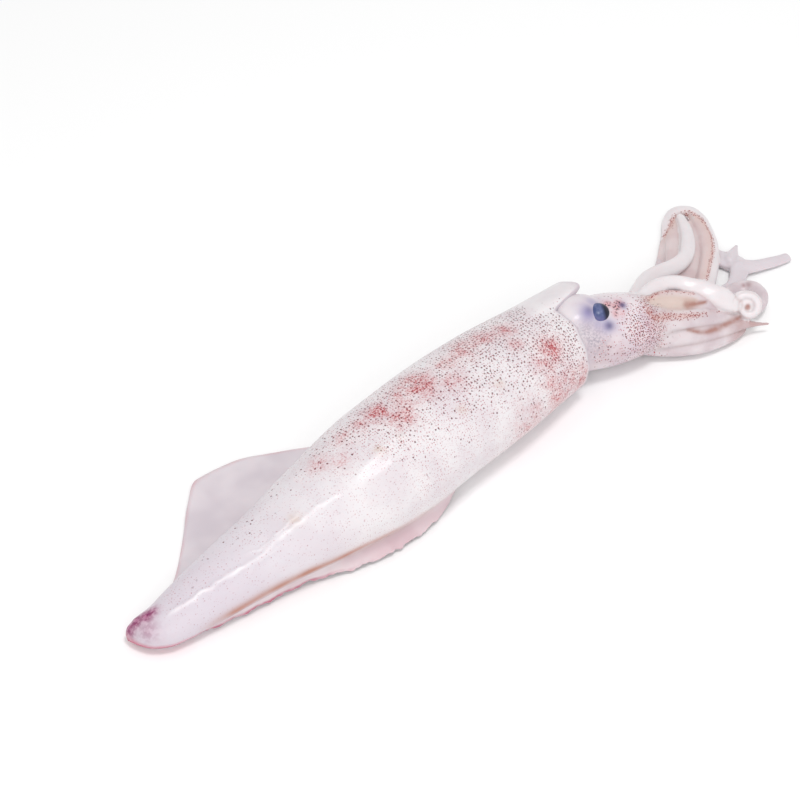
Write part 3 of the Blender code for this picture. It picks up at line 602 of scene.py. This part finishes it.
UNDER_ARM = ((234, -12, 7, 3.4), (242, -16, 4.6, 3.8), (251, -19.5, 4.2, 3.6), (262, -21, 3.6, 3),
             (274, -18.5, 3.4, 2.8), (283, -16.5, 4, 3.3), (289.6, -17.6, 4.6, 3.4), (292.8, -21.8, 5, 3.4),
             (291.8, -26.6, 5.2, 2.9), (288, -29.5, 5.2, 2), (284.5, -31, 5, 1.2))
LONG_TENTACLE = ((240, -8, 10, 3), (254, -4, 5.5, 2.6), (268, -5.5, 3, 2.3), (280, -10, 2.6, 2.3),
                 (289.9, -11.6, 2.6, 2.4), (296, -9.8, 2.6, 3.4), (301.5, -6.6, 2.4, 4.2),
                 (308, -9.8, 2, 3.2), (315.6, -12.5, 1.6, 2.8), (322, -14, 1.4, 2.4))
CLUB_SPIKE = ((299.5, -3.5, 2.2, 3.4), (303.5, 0, 2.3, 3), (307.5, 2.2, 2.4, 1.7), (311, 3.8, 2.6, 0.5))
CLUB_WEB = ((303, -8, 1.9, 4), (302, -4, 1.9, 5), (300.8, 0.5, 1.9, 5.2), (299.5, 5, 2, 4.2))
CLUB_WEB_FLATNESS = 0.3
SHORT_TENTACLE = ((238, -7, 9, 3), (254, -2, 4.8, 3), (266, 1, 4, 4.4), (274, 3.5, 3.6, 6),
                  (282, 8.6, 3.4, 7.4), (290, 15.4, 3.3, 7.8), (297.5, 22.4, 3.2, 7), (302.5, 27.5, 3, 4.6))
SHORT_TENTACLE_FLATNESS = 0.38
ARCH_FLATNESS = 0.66
CLUB_FLATNESS = 0.5
ARM_KEEL = 0.12
ARM_NOSE = 0.7
CURL_MIDDLE = (277.3, -30.8, 11.5)
CURL_AXIS = (-0.46, -0.54, 0.71)
CURL_TURNS = 1.4
CURL_RADII = (5.4, 1.1)
CURL_THICKNESS = (2.45, 1.2)
CURL_DEPTH = 1.25
CURL_CORE_RADIUS = 2.1
CURL_CORE_DEPTH = 1.3
FLESH_VOXEL = 0.52
ARM_LOWEST = 0.1
ARM_STEP = 0.8
HEAD_LOWEST = 0.08
arm_forms = (("upper_arm", UPPER_ARM, 1.0), ("left_top_arm", LEFT_TOP_ARM, 1.0), ("side_arm", SIDE_ARM, 1.0),
             ("low_side_arm", LOW_SIDE_ARM, 1.0), ("lowest_arm", LOWEST_ARM, 1.0),
             ("arch_arm", ARCH_ARM, ARCH_FLATNESS), ("inner_arm", INNER_ARM, 1.0),
             ("under_arm", UNDER_ARM, 1.0),
             ("short_tentacle", SHORT_TENTACLE, SHORT_TENTACLE_FLATNESS),
             ("long_tentacle", LONG_TENTACLE, CLUB_FLATNESS), ("club_spike", CLUB_SPIKE, CLUB_FLATNESS),
             ("club_web", CLUB_WEB, CLUB_WEB_FLATNESS))


def run_along(path):
    """How far along a path each of its rows is; X, Y and Z come first in a row."""
    return np.concatenate([[0], np.cumsum(np.linalg.norm(np.diff(path[:, :3], axis=0), axis=1))])


def smooth_path(points, step):
    """Rows a step apart along a smooth curve through rows of numbers."""
    rows = np.array(points, float)
    ends = np.vstack([2 * rows[0] - rows[1], rows, 2 * rows[-1] - rows[-2]])
    fine_rows = []
    for a, b, c, d in zip(ends, ends[1:], ends[2:], ends[3:]):
        for t in np.linspace(0, 1, 24, endpoint=False):
            fine_rows.append(0.5 * (2 * b + (c - a) * t + (2 * a - 5 * b + 4 * c - d) * t * t
                                    + (3 * b - a - 3 * c + d) * t ** 3))
    fine_rows = np.array(fine_rows + [rows[-1]])
    run = run_along(fine_rows)
    at = np.linspace(0, run[-1], int(round(run[-1] / step)) + 1)
    return np.stack([np.interp(at, run, column) for column in fine_rows.T], axis=1)


def path_frame(path):
    """The directions ahead, across and up at each row of a path."""
    ahead = np.gradient(path[:, :3], axis=0)
    ahead /= np.linalg.norm(ahead, axis=1)[:, None]
    across = np.cross(ahead, (0, 0, 1))
    across /= np.linalg.norm(across, axis=1)[:, None]
    return ahead, across, np.cross(across, ahead)


def arm_surface(path, widths, heights, keel, lowest):
    """The skin of an arm along a path, its two ends rounded off, flattened where it rests."""
    ahead, across, up = path_frame(path)
    run = run_along(path)

    def surface(along, round_):
        at = run[-1] * along

        def read(rows):
            return np.stack([np.interp(at, run, column) for column in rows.T], axis=1)

        width, height = np.interp(at, run, widths), np.interp(at, run, heights)
        to_end = np.minimum(at, run[-1] - at)
        rounding = np.sqrt(np.clip(1 - (1 - np.minimum(to_end / np.maximum(height, 0.1), 1.0)) ** 2, 0, 1))
        angle = 2 * math.pi * round_
        swell = rounding * (1 + keel * np.cos(3 * angle))
        points = (read(path[:, :3]) + read(across) * (swell * width * np.cos(angle))[:, None]
                  + read(up) * (swell * height * np.sin(angle))[:, None])
        points[:, 2] = np.maximum(points[:, 2], lowest)
        return points

    return surface


def unit_ball(name, segments, rings):
    """A new ball, and its points on a radius of 1, ready to be put in their places."""
    bpy.ops.object.select_all(action='DESELECT')
    bpy.ops.mesh.primitive_uv_sphere_add(segments=segments, ring_count=rings, radius=1.0)
    ball = bpy.context.object
    ball.name = name
    return ball, np.array([v.co for v in ball.data.vertices])


head_path = smooth_path(HEAD_STATIONS, 1.0)
head = roll_skin("head", 90, 72, arm_surface(head_path, head_path[:, 3], head_path[:, 4], 0.0, HEAD_LOWEST))
funnel, unit = unit_ball("funnel", 48, 32)
put(funnel, unit * FUNNEL_RADII + FUNNEL_MIDDLE)
core, unit = unit_ball("curl_core", 24, 16)
put(core, unit * CURL_CORE_RADIUS + np.array(CURL_MIDDLE) - CURL_CORE_DEPTH * np.array(CURL_AXIS))
flesh_forms = [head, funnel, core]

arm_paths = {}
for name, points, flatness in arm_forms:
    path = smooth_path(points, ARM_STEP)
    ahead = (path[-1, :3] - path[-2, :3]) / np.linalg.norm(path[-1, :3] - path[-2, :3])
    nose = np.append(path[-1, :3] + ahead * path[-1, 3] * ARM_NOSE, path[-1, 3])
    path = np.vstack([path, nose])
    flatter = 1 + (flatness - 1) * fade(np.linspace(0, 1, len(path)), 0, 0.5)
    arm_paths[name] = (path, path[:, 3] * flatter)
    surface = arm_surface(path, path[:, 3], path[:, 3] * flatter, ARM_KEEL, ARM_LOWEST)
    flesh_forms.append(roll_skin(name, len(path), 28, surface))

axis = Vector(CURL_AXIS).normalized()
start = Vector(UPPER_ARM[-1][:3]) - Vector(CURL_MIDDLE)
start = (start - axis * start.dot(axis)).normalized()
side = axis.cross(start)
curl_rows = []
for t in np.linspace(0, 1, 80):
    angle_now = -2 * math.pi * CURL_TURNS * t
    out = start * math.cos(angle_now) + side * math.sin(angle_now)
    middle = Vector(CURL_MIDDLE) + out * (CURL_RADII[0] + (CURL_RADII[1] - CURL_RADII[0]) * t)
    curl_rows.append((*middle, CURL_THICKNESS[0] + (CURL_THICKNESS[1] - CURL_THICKNESS[0]) * t))
curl_path = np.array(curl_rows)
arm_paths["curl"] = (curl_path, curl_path[:, 3] * CURL_DEPTH)
surface = arm_surface(curl_path, curl_path[:, 3], curl_path[:, 3], 0.0, ARM_LOWEST)
flesh_forms.append(roll_skin("curl", 80, 28, surface))

bpy.ops.object.select_all(action='DESELECT')
for form in flesh_forms:
    form.select_set(True)
bpy.context.view_layer.objects.active = head
bpy.ops.object.join()
head.name = "head_and_arms"
remesh = head.modifiers.new("one skin", 'REMESH')
remesh.mode = 'VOXEL'
remesh.voxel_size = FLESH_VOXEL * MM
bpy.ops.object.modifier_apply(modifier="one skin")
soften = head.modifiers.new("soften", 'SMOOTH')
soften.factor = 0.5
soften.iterations = 5
bpy.ops.object.modifier_apply(modifier="soften")
bpy.ops.object.shade_smooth()

# Which arm each point of the skin belongs to, and how close it is to the groove between two arms.
# The club and its web count as one, and so do the arch and the flat tentacle under it.
flesh = places(head)
flesh_x, flesh_y, flesh_z = flesh.T
levels = []
for path, heights in arm_paths.values():
    best = np.full(len(flesh), 1e9)
    ahead, across, up = path_frame(path)
    for i in range(0, len(path), 2):
        off = flesh - path[i, :3]
        level = np.sqrt((off @ ahead[i] / path[i, 3]) ** 2 + (off @ across[i] / path[i, 3]) ** 2
                        + (off @ up[i] / max(heights[i], 0.3)) ** 2)
        best = np.minimum(best, level)
    levels.append(best)
names = list(arm_paths)
one_sheet = np.array([{"club_spike": 90, "club_web": 90, "long_tentacle": 90, "short_tentacle": 91,
                       "arch_arm": 91}.get(name, i) for i, name in enumerate(names)])
order = np.sort(levels, axis=0)
ranked = one_sheet[np.argsort(levels, axis=0)]
owner = np.argmin(levels, axis=0)
# Painted shade: the skin is darkened where two arms meet, in the groove between them.
painted_groove_shade = np.exp(-((order[1] - order[0]) / 0.22) ** 2) * fade(flesh_x, 236, 244) * (ranked[0] != ranked[1])


def belongs(*arms):
    """Which points of the skin belong to one of the named arms."""
    return np.isin(owner, [names.index(arm) for arm in arms])


def along_line(points, line, width):
    """How closely each place follows a line of places, from 0 to 1 on it."""
    away = np.full(len(points), 1e9)
    for row in smooth_path(line, 0.5):
        away = np.minimum(away, np.linalg.norm(points - row[:3], axis=1) / row[3])
    return np.exp(-(away / width) ** 2)


# Lines and spots of colour on the head and arms: places, then a radius and, for spots, a strength.
ARCH_STRIPE = ((282, -5.5, 6, 0.7), (290, 0, 6, 0.75), (298.4, 6, 5.6, 0.7), (306, 14.5, 5.6, 0.7),
               (309.8, 23.9, 5.4, 1), (308.8, 29.8, 4.9, 1.3), (302.8, 31.4, 3.8, 1.5),
               (296.5, 28.2, 3.6, 1.4), (291.9, 26.8, 3.4, 1.1))
RECESS_LINE = ((234.5, -15.5, 24.4, 1.6), (236, -12.5, 24.6, 1.6), (240, -10.6, 24.6, 1.5),
               (247.8, -10.8, 23.2, 1.3), (254.1, -13.8, 21.8, 1), (259.5, -17.4, 20, 0.7))
SIDE_STRIPE = ((234, -16.6, 24.8, 1.3), (235.6, -19.1, 22.5, 1.5), (243, -20.5, 20, 1.5),
               (251.1, -23.6, 17.5, 1.2), (261, -25.5, 14, 0.9), (270.5, -27.9, 10.9, 0.6))
# The brown groove and the recess's gap below are sunk, and are also painted darker as shade.
BROWN_GROOVE = ((249, -25.3, 12.4, 0.5), (254.7, -29.2, 10.7, 0.8), (261, -30.4, 9.9, 1.1),
                (268, -30.6, 9, 1), (273.4, -30.6, 8, 0.8))
RECESS = ((240, -13.2, 23.6, 2), (244, -14.6, 22.8, 2.7), (249, -16.6, 21.4, 2.8), (254, -18.4, 19.6, 2.2),
          (258, -19.6, 18.4, 1.2))
RECESS_GAP = ((254.6, -19.3, 18.5, 1.9), (257.4, -20.3, 17.8, 1.5), (262.2, -21.8, 17, 0.6))
HEAD_SPOTS = ((232, -21.5, 17, 8, 1.1), (227, -19, 21, 7, 1.1), (231, -21, 10, 7, 0.9),
              (223, -20, 15, 6, 0.55), (214, -17, 16, 8, 0.3), (236, -15, 24, 5, 0.9),
              (231, -17, 25, 5, 0.8), (222, -18, 8, 7, 0.4), (236, 4, 20, 8, 0.3), (212, -17, 17, 6, 0.4))
SILVER = ((207.2, -10.3, 26, 4, 0.8), (208.6, -13.5, 23.4, 5, 1), (209.3, -15.9, 19.5, 5, 0.7))
# Rosy grey patches on the head's lower near side: a pink tint and, in part, painted shade that darkens it.
ROSY_SKIN_AND_SHADE = ((211, -17, 18.5, 5.5, 0.9), (216, -19.3, 15, 6, 0.9), (209, -16.5, 14, 5, 0.7),
             (228, -21, 13, 8, 0.7), (233, -19, 20, 6, 0.8))
EYE_HALO = ((211.6, -5.8, 30, 3.7, 1), (215.5, -13, 26.4, 3.2, 0.85), (226.2, -9.9, 28.4, 2, 0.9),
            (213, -11, 28, 3, 0.6), (217, -3.2, 31, 2.8, 0.6))
DARK_TIP = ((291.5, -19.5, 7, 1.4, 1), (289.5, -18.5, 7.3, 0.9, 0.8))
INK_SPOTS = ((226.2, -9.9, 28.4, 1.2, 1), (216, -13.6, 26.4, 1.5, 0.7), (212.9, -5.2, 30.4, 1.5, 0.35))
TORN_SKIN = ((221.6, -6.6, 29, 2, 1), (223.4, -9.4, 28.6, 2, 1), (225.8, -8.2, 28.5, 1.8, 1),
             (221, -11.6, 28, 1.7, 0.8), (223.4, -12.6, 27.6, 1.8, 0.45))
CREAM_DOME = ((206, -1.5, 28, 6, 1), (212, 3, 29, 5, 1), (204, -7.5, 25, 5, 0.9), (218, -12, 27.5, 2.4, 0.8),
              (219, 3, 28, 4, 0.6))
ARCH_CENTRE = (293.0, 14.0, 5.0)
HEAD_MAP_RADIUS = 14.0
HEAD_MAP_HEIGHT = 15.5
HEAD_MAP_MIDDLE = 130.0

recess = np.clip(1.6 * along_line(flesh, RECESS, 1.1), 0.0, 1.0) * (flesh_x > 236)
gap = along_line(flesh, RECESS_GAP, 1.0)
brown_groove = along_line(flesh, BROWN_GROOVE, 1.3)
stripe_lines = (ARCH_STRIPE, RECESS_LINE, SIDE_STRIPE)
stripes = np.maximum.reduce([along_line(flesh, line, 1.0) for line in stripe_lines])
stripe_rows = smooth_path(ARCH_STRIPE, 0.5)[:, :3]
beside = np.stack([np.linalg.norm(flesh - row, axis=1) for row in stripe_rows])
closest = stripe_rows[np.argmin(beside, axis=0)]
inward = ((flesh - closest) * (ARCH_CENTRE - closest)).sum(axis=1) > 0
near_stripe = np.exp(-(beside.min(axis=0) / 4.0) ** 2)
on_arch = belongs("arch_arm") & (flesh_x > 280)
inner_face = (belongs("short_tentacle") & (flesh_x > 262)) | (on_arch & inward)
white_skin = belongs("upper_arm", "inner_arm", "curl") | (on_arch & ~inward)
browned = fade(flesh_x, 262, 272) * belongs("low_side_arm", "lowest_arm")

# The line between the turns of the curled tip, painted darker as shade, and the tip's dark middle.
off = flesh - CURL_MIDDLE
flat_off = np.stack([off @ np.array(start), off @ np.array(side)], axis=1)
from_centre = np.linalg.norm(flat_off, axis=1)
turns_round = (-np.arctan2(flat_off[:, 1], flat_off[:, 0]) / (2 * math.pi)) % 1.0
pitch = (CURL_RADII[0] - CURL_RADII[1]) / CURL_TURNS
between = ((CURL_RADII[0] - from_centre) / pitch - turns_round) % 1.0
on_disc = fade(from_centre, 7.1, 6.3) * (np.abs(off @ np.array(axis)) < 4.5)
from_middle = np.maximum(fade(from_centre, 0.8, 1.6), 0.3)
curl_line = on_disc * np.exp(-((between - 0.5) / 0.14) ** 2) * from_middle
curl_eye = on_disc * np.exp(-(from_centre / 1.3) ** 4)

outward = np.array([v.normal for v in head.data.vertices])
sunk = 0.9 * recess + 0.7 * gap + 0.5 * brown_groove + 0.3 * curl_line
sunk += 0.35 * grain(flesh / (2.2, 1.0, 1.0), 5.0, 21.0) * fade(flesh_x, 232, 238)
put(head, flesh - outward * sunk[:, None])
head_line = np.interp(flesh_x, head_path[:, 0], head_path[:, 1])
round_head = np.degrees(np.arctan2(flesh_z - HEAD_MAP_HEIGHT, flesh_y - head_line))
from_top = np.radians((round_head - HEAD_MAP_MIDDLE + 180.0) % 360.0 - 180.0)
lay_map(head, flesh_x, from_top * HEAD_MAP_RADIUS)
for name, spots in (("silver", SILVER), ("halo", EYE_HALO), ("ink", INK_SPOTS), ("torn", TORN_SKIN),
                    ("dark_tip", DARK_TIP)):
    mark(head, name, spots_at(flesh, spots))
mark(head, "spots", spots_at(flesh, HEAD_SPOTS) + 0.14 * fade(flesh_x, 216, 222) * (flesh_x < 236))
mark(head, "rosy_and_shade", spots_at(flesh, ROSY_SKIN_AND_SHADE) * (0.8 + 0.6 * grain(flesh, 3.0, 13.0)))
mark(head, "stripes", stripes)
mark(head, "painted_groove_shade", painted_groove_shade * (0.55 + 0.9 * grain(flesh, 6.0, 9.0)))
mark(head, "pearl", fade(flesh_x, 233, 236))
mark(head, "cream", np.maximum(spots_at(flesh, CREAM_DOME), 1.0 * white_skin))
mark(head, "recess", recess)
# Painted shade in the recess's gap, the brown groove and between the curl's turns, with the curl's dark
# middle and the lower arms' browned tips.
mark(head, "brown_and_shade", np.maximum.reduce([gap, 0.9 * brown_groove, 0.14 * curl_line, 0.5 * browned,
                                       0.9 * curl_eye]))
mark(head, "inner_face", (0.45 + 0.55 * near_stripe) * inner_face)
mark(head, "clear_web", 1.0 * belongs("long_tentacle", "club_spike", "club_web"))

# Raw squid head and arms: pearly flesh with a wet film that shines in small spots, under dark red
# dots, dotted stripes, and bruised and torn skin round the eye.
HEAD_SPOT_SPACING = 0.8
HEAD_SPOT_SIZE = 0.18
HEAD_DARK_SPACING = 1.1
HEAD_DARK_SIZE = 0.27
STRIPE_SPOT_SPACING = 0.7
STRIPE_SPOT_SIZE = 0.28

material, shader = wet_flesh("raw squid head and arms", 0.34, 0.35)
where = add_node(material, "ShaderNodeTexCoord").outputs["Object"]
on_skin = add_node(material, "ShaderNodeAttribute", attribute_name="on_skin").outputs["Vector"]
spots, striped, torn = (add_node(material, "ShaderNodeAttribute", attribute_name=name).outputs["Fac"]
                        for name in ("spots", "stripes", "torn"))
clouds = patches(material, where, 9, 3, 0.35, 0.7)
arm_colour = stain(material, linear("#dad0d3"), "#cbbcc1", clouds)
colour = stain(material, linear("#e2d8dc"), "#d3c6cf", clouds)
colour = stain(material, colour, arm_colour, "pearl")
# The groove entry is painted shade along the seams between arms; the other entries are the flesh's own tones.
for name, hex_colour, share in (("inner_face", "#d6bdb8", 0.8), ("clear_web", "#d6ced4", 0.7),
                                ("cream", "#e5dfe1", 0.8), ("recess", "#d5c0b5", 0.8),
                                ("painted_groove_shade", "#b99088", 0.35)):
    colour = stain(material, colour, hex_colour, name, share)
# Painted shade in the gap, the brown groove and the curl's turns, plus the lower arms' own browned tips.
colour = stain(material, colour, "#a8766a", "brown_and_shade", patches(material, where, 3.5, 4, 0.35, 0.65, 0.65))
# Partly painted shade: the rosy grey darkens the lower near side of the head as well as tinting it.
colour = stain(material, colour, "#bf979c", "rosy_and_shade", 0.42)
colour = stain(material, colour, "#a398a6", "silver", patches(material, where, 0.8, 3, 0.4, 0.62, 0.25, 0.85))
colour = stain(material, colour, "#817aac", "halo", 0.82)
small = skin_spots(material, on_skin, HEAD_SPOT_SPACING, HEAD_SPOT_SIZE, spots)
colour = stain(material, colour, "#b03744", small, 0.9)
dark = skin_spots(material, on_skin, HEAD_DARK_SPACING, HEAD_DARK_SIZE, spots)
colour = stain(material, colour, "#680f18", dark, 0.95)
colour = stain(material, colour, "#cf9a8e", striped, 0.45)
dotted = add_node(material, "ShaderNodeMath", {0: striped, 1: 1.5, 2: 0.03},
                  operation='MULTIPLY_ADD').outputs[0]
red = skin_spots(material, where, STRIPE_SPOT_SPACING * MM, STRIPE_SPOT_SIZE * MM, dotted, '3D')
colour = stain(material, colour, "#8a2a28", red, 0.9)
colour = stain(material, colour, "#7a2420", "dark_tip", 0.85)
colour = stain(material, colour, "#d79a9e", torn, 0.85)
strands = add_node(material, "ShaderNodeMapRange", {0: torn, 1: 0.4, 2: 0.8},
                   interpolation_type='SMOOTHSTEP').outputs[0]
colour = stain(material, colour, "#241522", strands, patches(material, where, 0.8, 3, 0.5, 0.56, 0.0, 0.9))
colour = stain(material, colour, "#3f3b66", "ink", 0.85)
finish(material, shader, colour, where, 1.3, 4, 0.25)
head.data.materials.append(material)
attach(head, "root")
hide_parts("squid")

# Small pale suckers stand in two rows on the inner side of two of the arms. Each is a cup of firm
# white muscle with a raised rim, grown onto the arm.
SUCKER_RADIUS = 0.62
SUCKER_HEIGHT = 0.6
SUCKER_STEP = 2.6
SUCKER_LEAN = 0.42
SUCKER_RIM = 0.26
SUCKER_HOLLOW = 0.3
SUCKER_EDGE = 0.1
SUCKER_TO_ARM = 0.36
SUCKER_ROWS = (("arch_arm", 150.0, 0.62, 0.93), ("under_arm", 8.0, 0.62, 0.88))

bpy.ops.object.select_all(action='DESELECT')
bpy.ops.mesh.primitive_cylinder_add(vertices=20, radius=SUCKER_RADIUS * MM, depth=SUCKER_HEIGHT * MM)
cup = bpy.context.object
bpy.ops.object.mode_set(mode='EDIT')
bpy.ops.mesh.select_mode(type='FACE')
bpy.ops.mesh.select_all(action='DESELECT')
bpy.ops.object.mode_set(mode='OBJECT')
for face in cup.data.polygons:
    face.select = face.normal.z > 0.9
bpy.ops.object.mode_set(mode='EDIT')
bpy.ops.mesh.inset(thickness=SUCKER_RIM * MM, depth=0.0)
bpy.ops.mesh.extrude_region_move(TRANSFORM_OT_translate={"value": (0, 0, -SUCKER_HOLLOW * MM)})
bpy.ops.mesh.select_mode(type='VERT')
bpy.ops.object.mode_set(mode='OBJECT')
soft_rim = cup.modifiers.new("soft rim", 'BEVEL')
soft_rim.width = SUCKER_EDGE * MM
soft_rim.segments = 2
bpy.ops.object.modifier_apply(modifier="soft rim")
bpy.ops.object.shade_smooth()
cup_points = np.array([v.co for v in cup.data.vertices]) / MM
cups = []
for name, side_degrees, first, last in SUCKER_ROWS:
    path, heights = arm_paths[name]
    run = run_along(path)
    ahead, across, up = path_frame(path)
    for at in np.arange(first * run[-1], last * run[-1], SUCKER_STEP):
        i = int(np.searchsorted(run, at))
        for lean in (-SUCKER_LEAN, SUCKER_LEAN):
            turn_now = math.radians(side_degrees) + lean
            wide, high = path[i, 3] * math.cos(turn_now), heights[i] * math.sin(turn_now)
            out = Vector(across[i] * wide / path[i, 3] ** 2 + up[i] * high / heights[i] ** 2).normalized()
            turned = np.array(out.to_track_quat('Z', 'Y').to_matrix())
            size = min(1.0, SUCKER_TO_ARM * path[i, 3])
            copy = cup.copy()
            copy.data = cup.data.copy()
            bpy.context.collection.objects.link(copy)
            put(copy, cup_points * size @ turned.T + path[i, :3] + across[i] * wide + up[i] * high)
            cups.append(copy)
bpy.data.objects.remove(cup)
bpy.ops.object.select_all(action='DESELECT')
for copy in cups:
    copy.select_set(True)
bpy.context.view_layer.objects.active = cups[0]
bpy.ops.object.join()
suckers = bpy.context.object
suckers.name = "suckers"
# Raw squid sucker: the same pale wet flesh, with no spots.
material, shader = wet_flesh("raw squid sucker", 0.34, 0.3)
shader.inputs["Base Color"].default_value = linear("#ddd0d2")
suckers.data.materials.append(material)
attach(suckers, "root")
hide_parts("squid")

# Each eye is a soft ball under clear skin, sunk into a socket of the head. It has gone cloudy blue,
# with a near-black edge on the side away from the collar.
EYE_STATION = (216.7, -4.0, 15.3, 14.4, 14.1)
EYE_RADIUS = 4.4
EYE_DEPTH = 2.9
EYE_SUNK = 1.25
EYE_PLACES = (("eye_near", 103.0), ("eye_far", -35.0))


def eye_frame(angle_degrees):
    """Where an eye's middle is on the head, and the directions across, up and out of it."""
    x, y, z, width, height = EYE_STATION
    angle_here = math.radians(angle_degrees)
    surface_point = Vector((x, y + width * math.cos(angle_here), z + height * math.sin(angle_here)))
    out_of = Vector((0, math.cos(angle_here) / width, math.sin(angle_here) / height)).normalized()
    turned = out_of.to_track_quat('Z', 'Y').to_matrix()
    return np.array(surface_point - out_of * EYE_SUNK), np.array(turned)


# Raw squid eye: a clouded lens under a thin wet film, which gives a soft dull shine.
EYE_DARK_TOWARDS = (0.82, -0.45, 0.0)

material, shader = wet_flesh("raw squid eye", 0.32, 0.0)
shader.inputs["Coat Weight"].default_value = 0.1
where = add_node(material, "ShaderNodeTexCoord").outputs["Object"]
from_middle = add_node(material, "ShaderNodeAttribute", attribute_name="from_middle").outputs["Fac"]
rim = add_node(material, "ShaderNodeMapRange", {0: from_middle, 1: 0.6, 2: 0.95},
               interpolation_type='SMOOTHSTEP').outputs[0]
colour = stain(material, linear("#444f7c"), "#6b7399", patches(material, where, 2.5, 3, 0.4, 0.75))
colour = stain(material, colour, "#6a6796", rim, 0.7)
colour = stain(material, colour, "#14131f", "dark_side", 0.92)
material.node_tree.links.new(colour, shader.inputs["Base Color"])
for node_name, degrees in EYE_PLACES:
    middle, turned = eye_frame(degrees)
    ball, unit = unit_ball(node_name + "_ball", 64, 40)
    facing = unit @ turned.T
    put(ball, unit * (EYE_RADIUS, EYE_RADIUS, EYE_DEPTH) @ turned.T + middle)
    mark(ball, "from_middle", np.linalg.norm(unit[:, :2], axis=1))
    mark(ball, "dark_side", fade(facing @ EYE_DARK_TOWARDS, 0.15, 0.45))
    bpy.ops.object.shade_smooth()
    ball.data.materials.append(material)
    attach(ball, "root")
    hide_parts(node_name)

# A plain pale table under even studio light: white all round, a small soft light overhead that
# draws the wet streak along the tail, over a painted highlight line, and a broad one from the near left.
bpy.ops.object.select_all(action='DESELECT')
bpy.ops.mesh.primitive_plane_add(size=6.0, location=(0, 0, 0))
table = bpy.context.object
table.name = "table"

# Matt white board, which spreads the light evenly and has no shine.
material = bpy.data.materials.new("matt white board")
material.use_nodes = True
shader = material.node_tree.nodes["Principled BSDF"]
shader.inputs["Base Color"].default_value = linear("#fafafa")
shader.inputs["Roughness"].default_value = 0.9
shader.inputs["Specular IOR Level"].default_value = 0.0
table.data.materials.append(material)

world = bpy.data.worlds.new("even white")
world.use_nodes = True
world.node_tree.nodes["Background"].inputs["Color"].default_value = (1.0, 1.0, 1.0, 1.0)
world.node_tree.nodes["Background"].inputs["Strength"].default_value = 0.7
bpy.context.scene.world = world

for name, place, size, power in (("overhead", (0.02, -0.22, 1.17), 0.26, 4.4),
                                 ("front", (-0.75, -1.0, 0.9), 1.3, 6.0)):
    bpy.ops.object.light_add(type='AREA', location=place)
    lamp = bpy.context.object
    lamp.name = name
    lamp.data.size = size
    lamp.data.energy = power
    lamp.rotation_euler = Vector(place).to_track_quat('Z', 'Y').to_euler()

# The camera stands on the photograph's side and looks down at 45 degrees.
CAMERA_TARGET = Vector((-21.35, 17.88, 10.0)) * MM
CAMERA_PLACE = Vector((-349.3, -364.1, 513.5)) * MM
bpy.ops.object.camera_add(location=CAMERA_PLACE)
camera = bpy.context.object
camera.data.lens = 85.0
camera.data.sensor_width = 36.0
camera.rotation_euler = (CAMERA_PLACE - CAMERA_TARGET).to_track_quat('Z', 'Y').to_euler()
bpy.context.scene.camera = camera
bpy.context.scene.view_settings.view_transform = 'Standard'
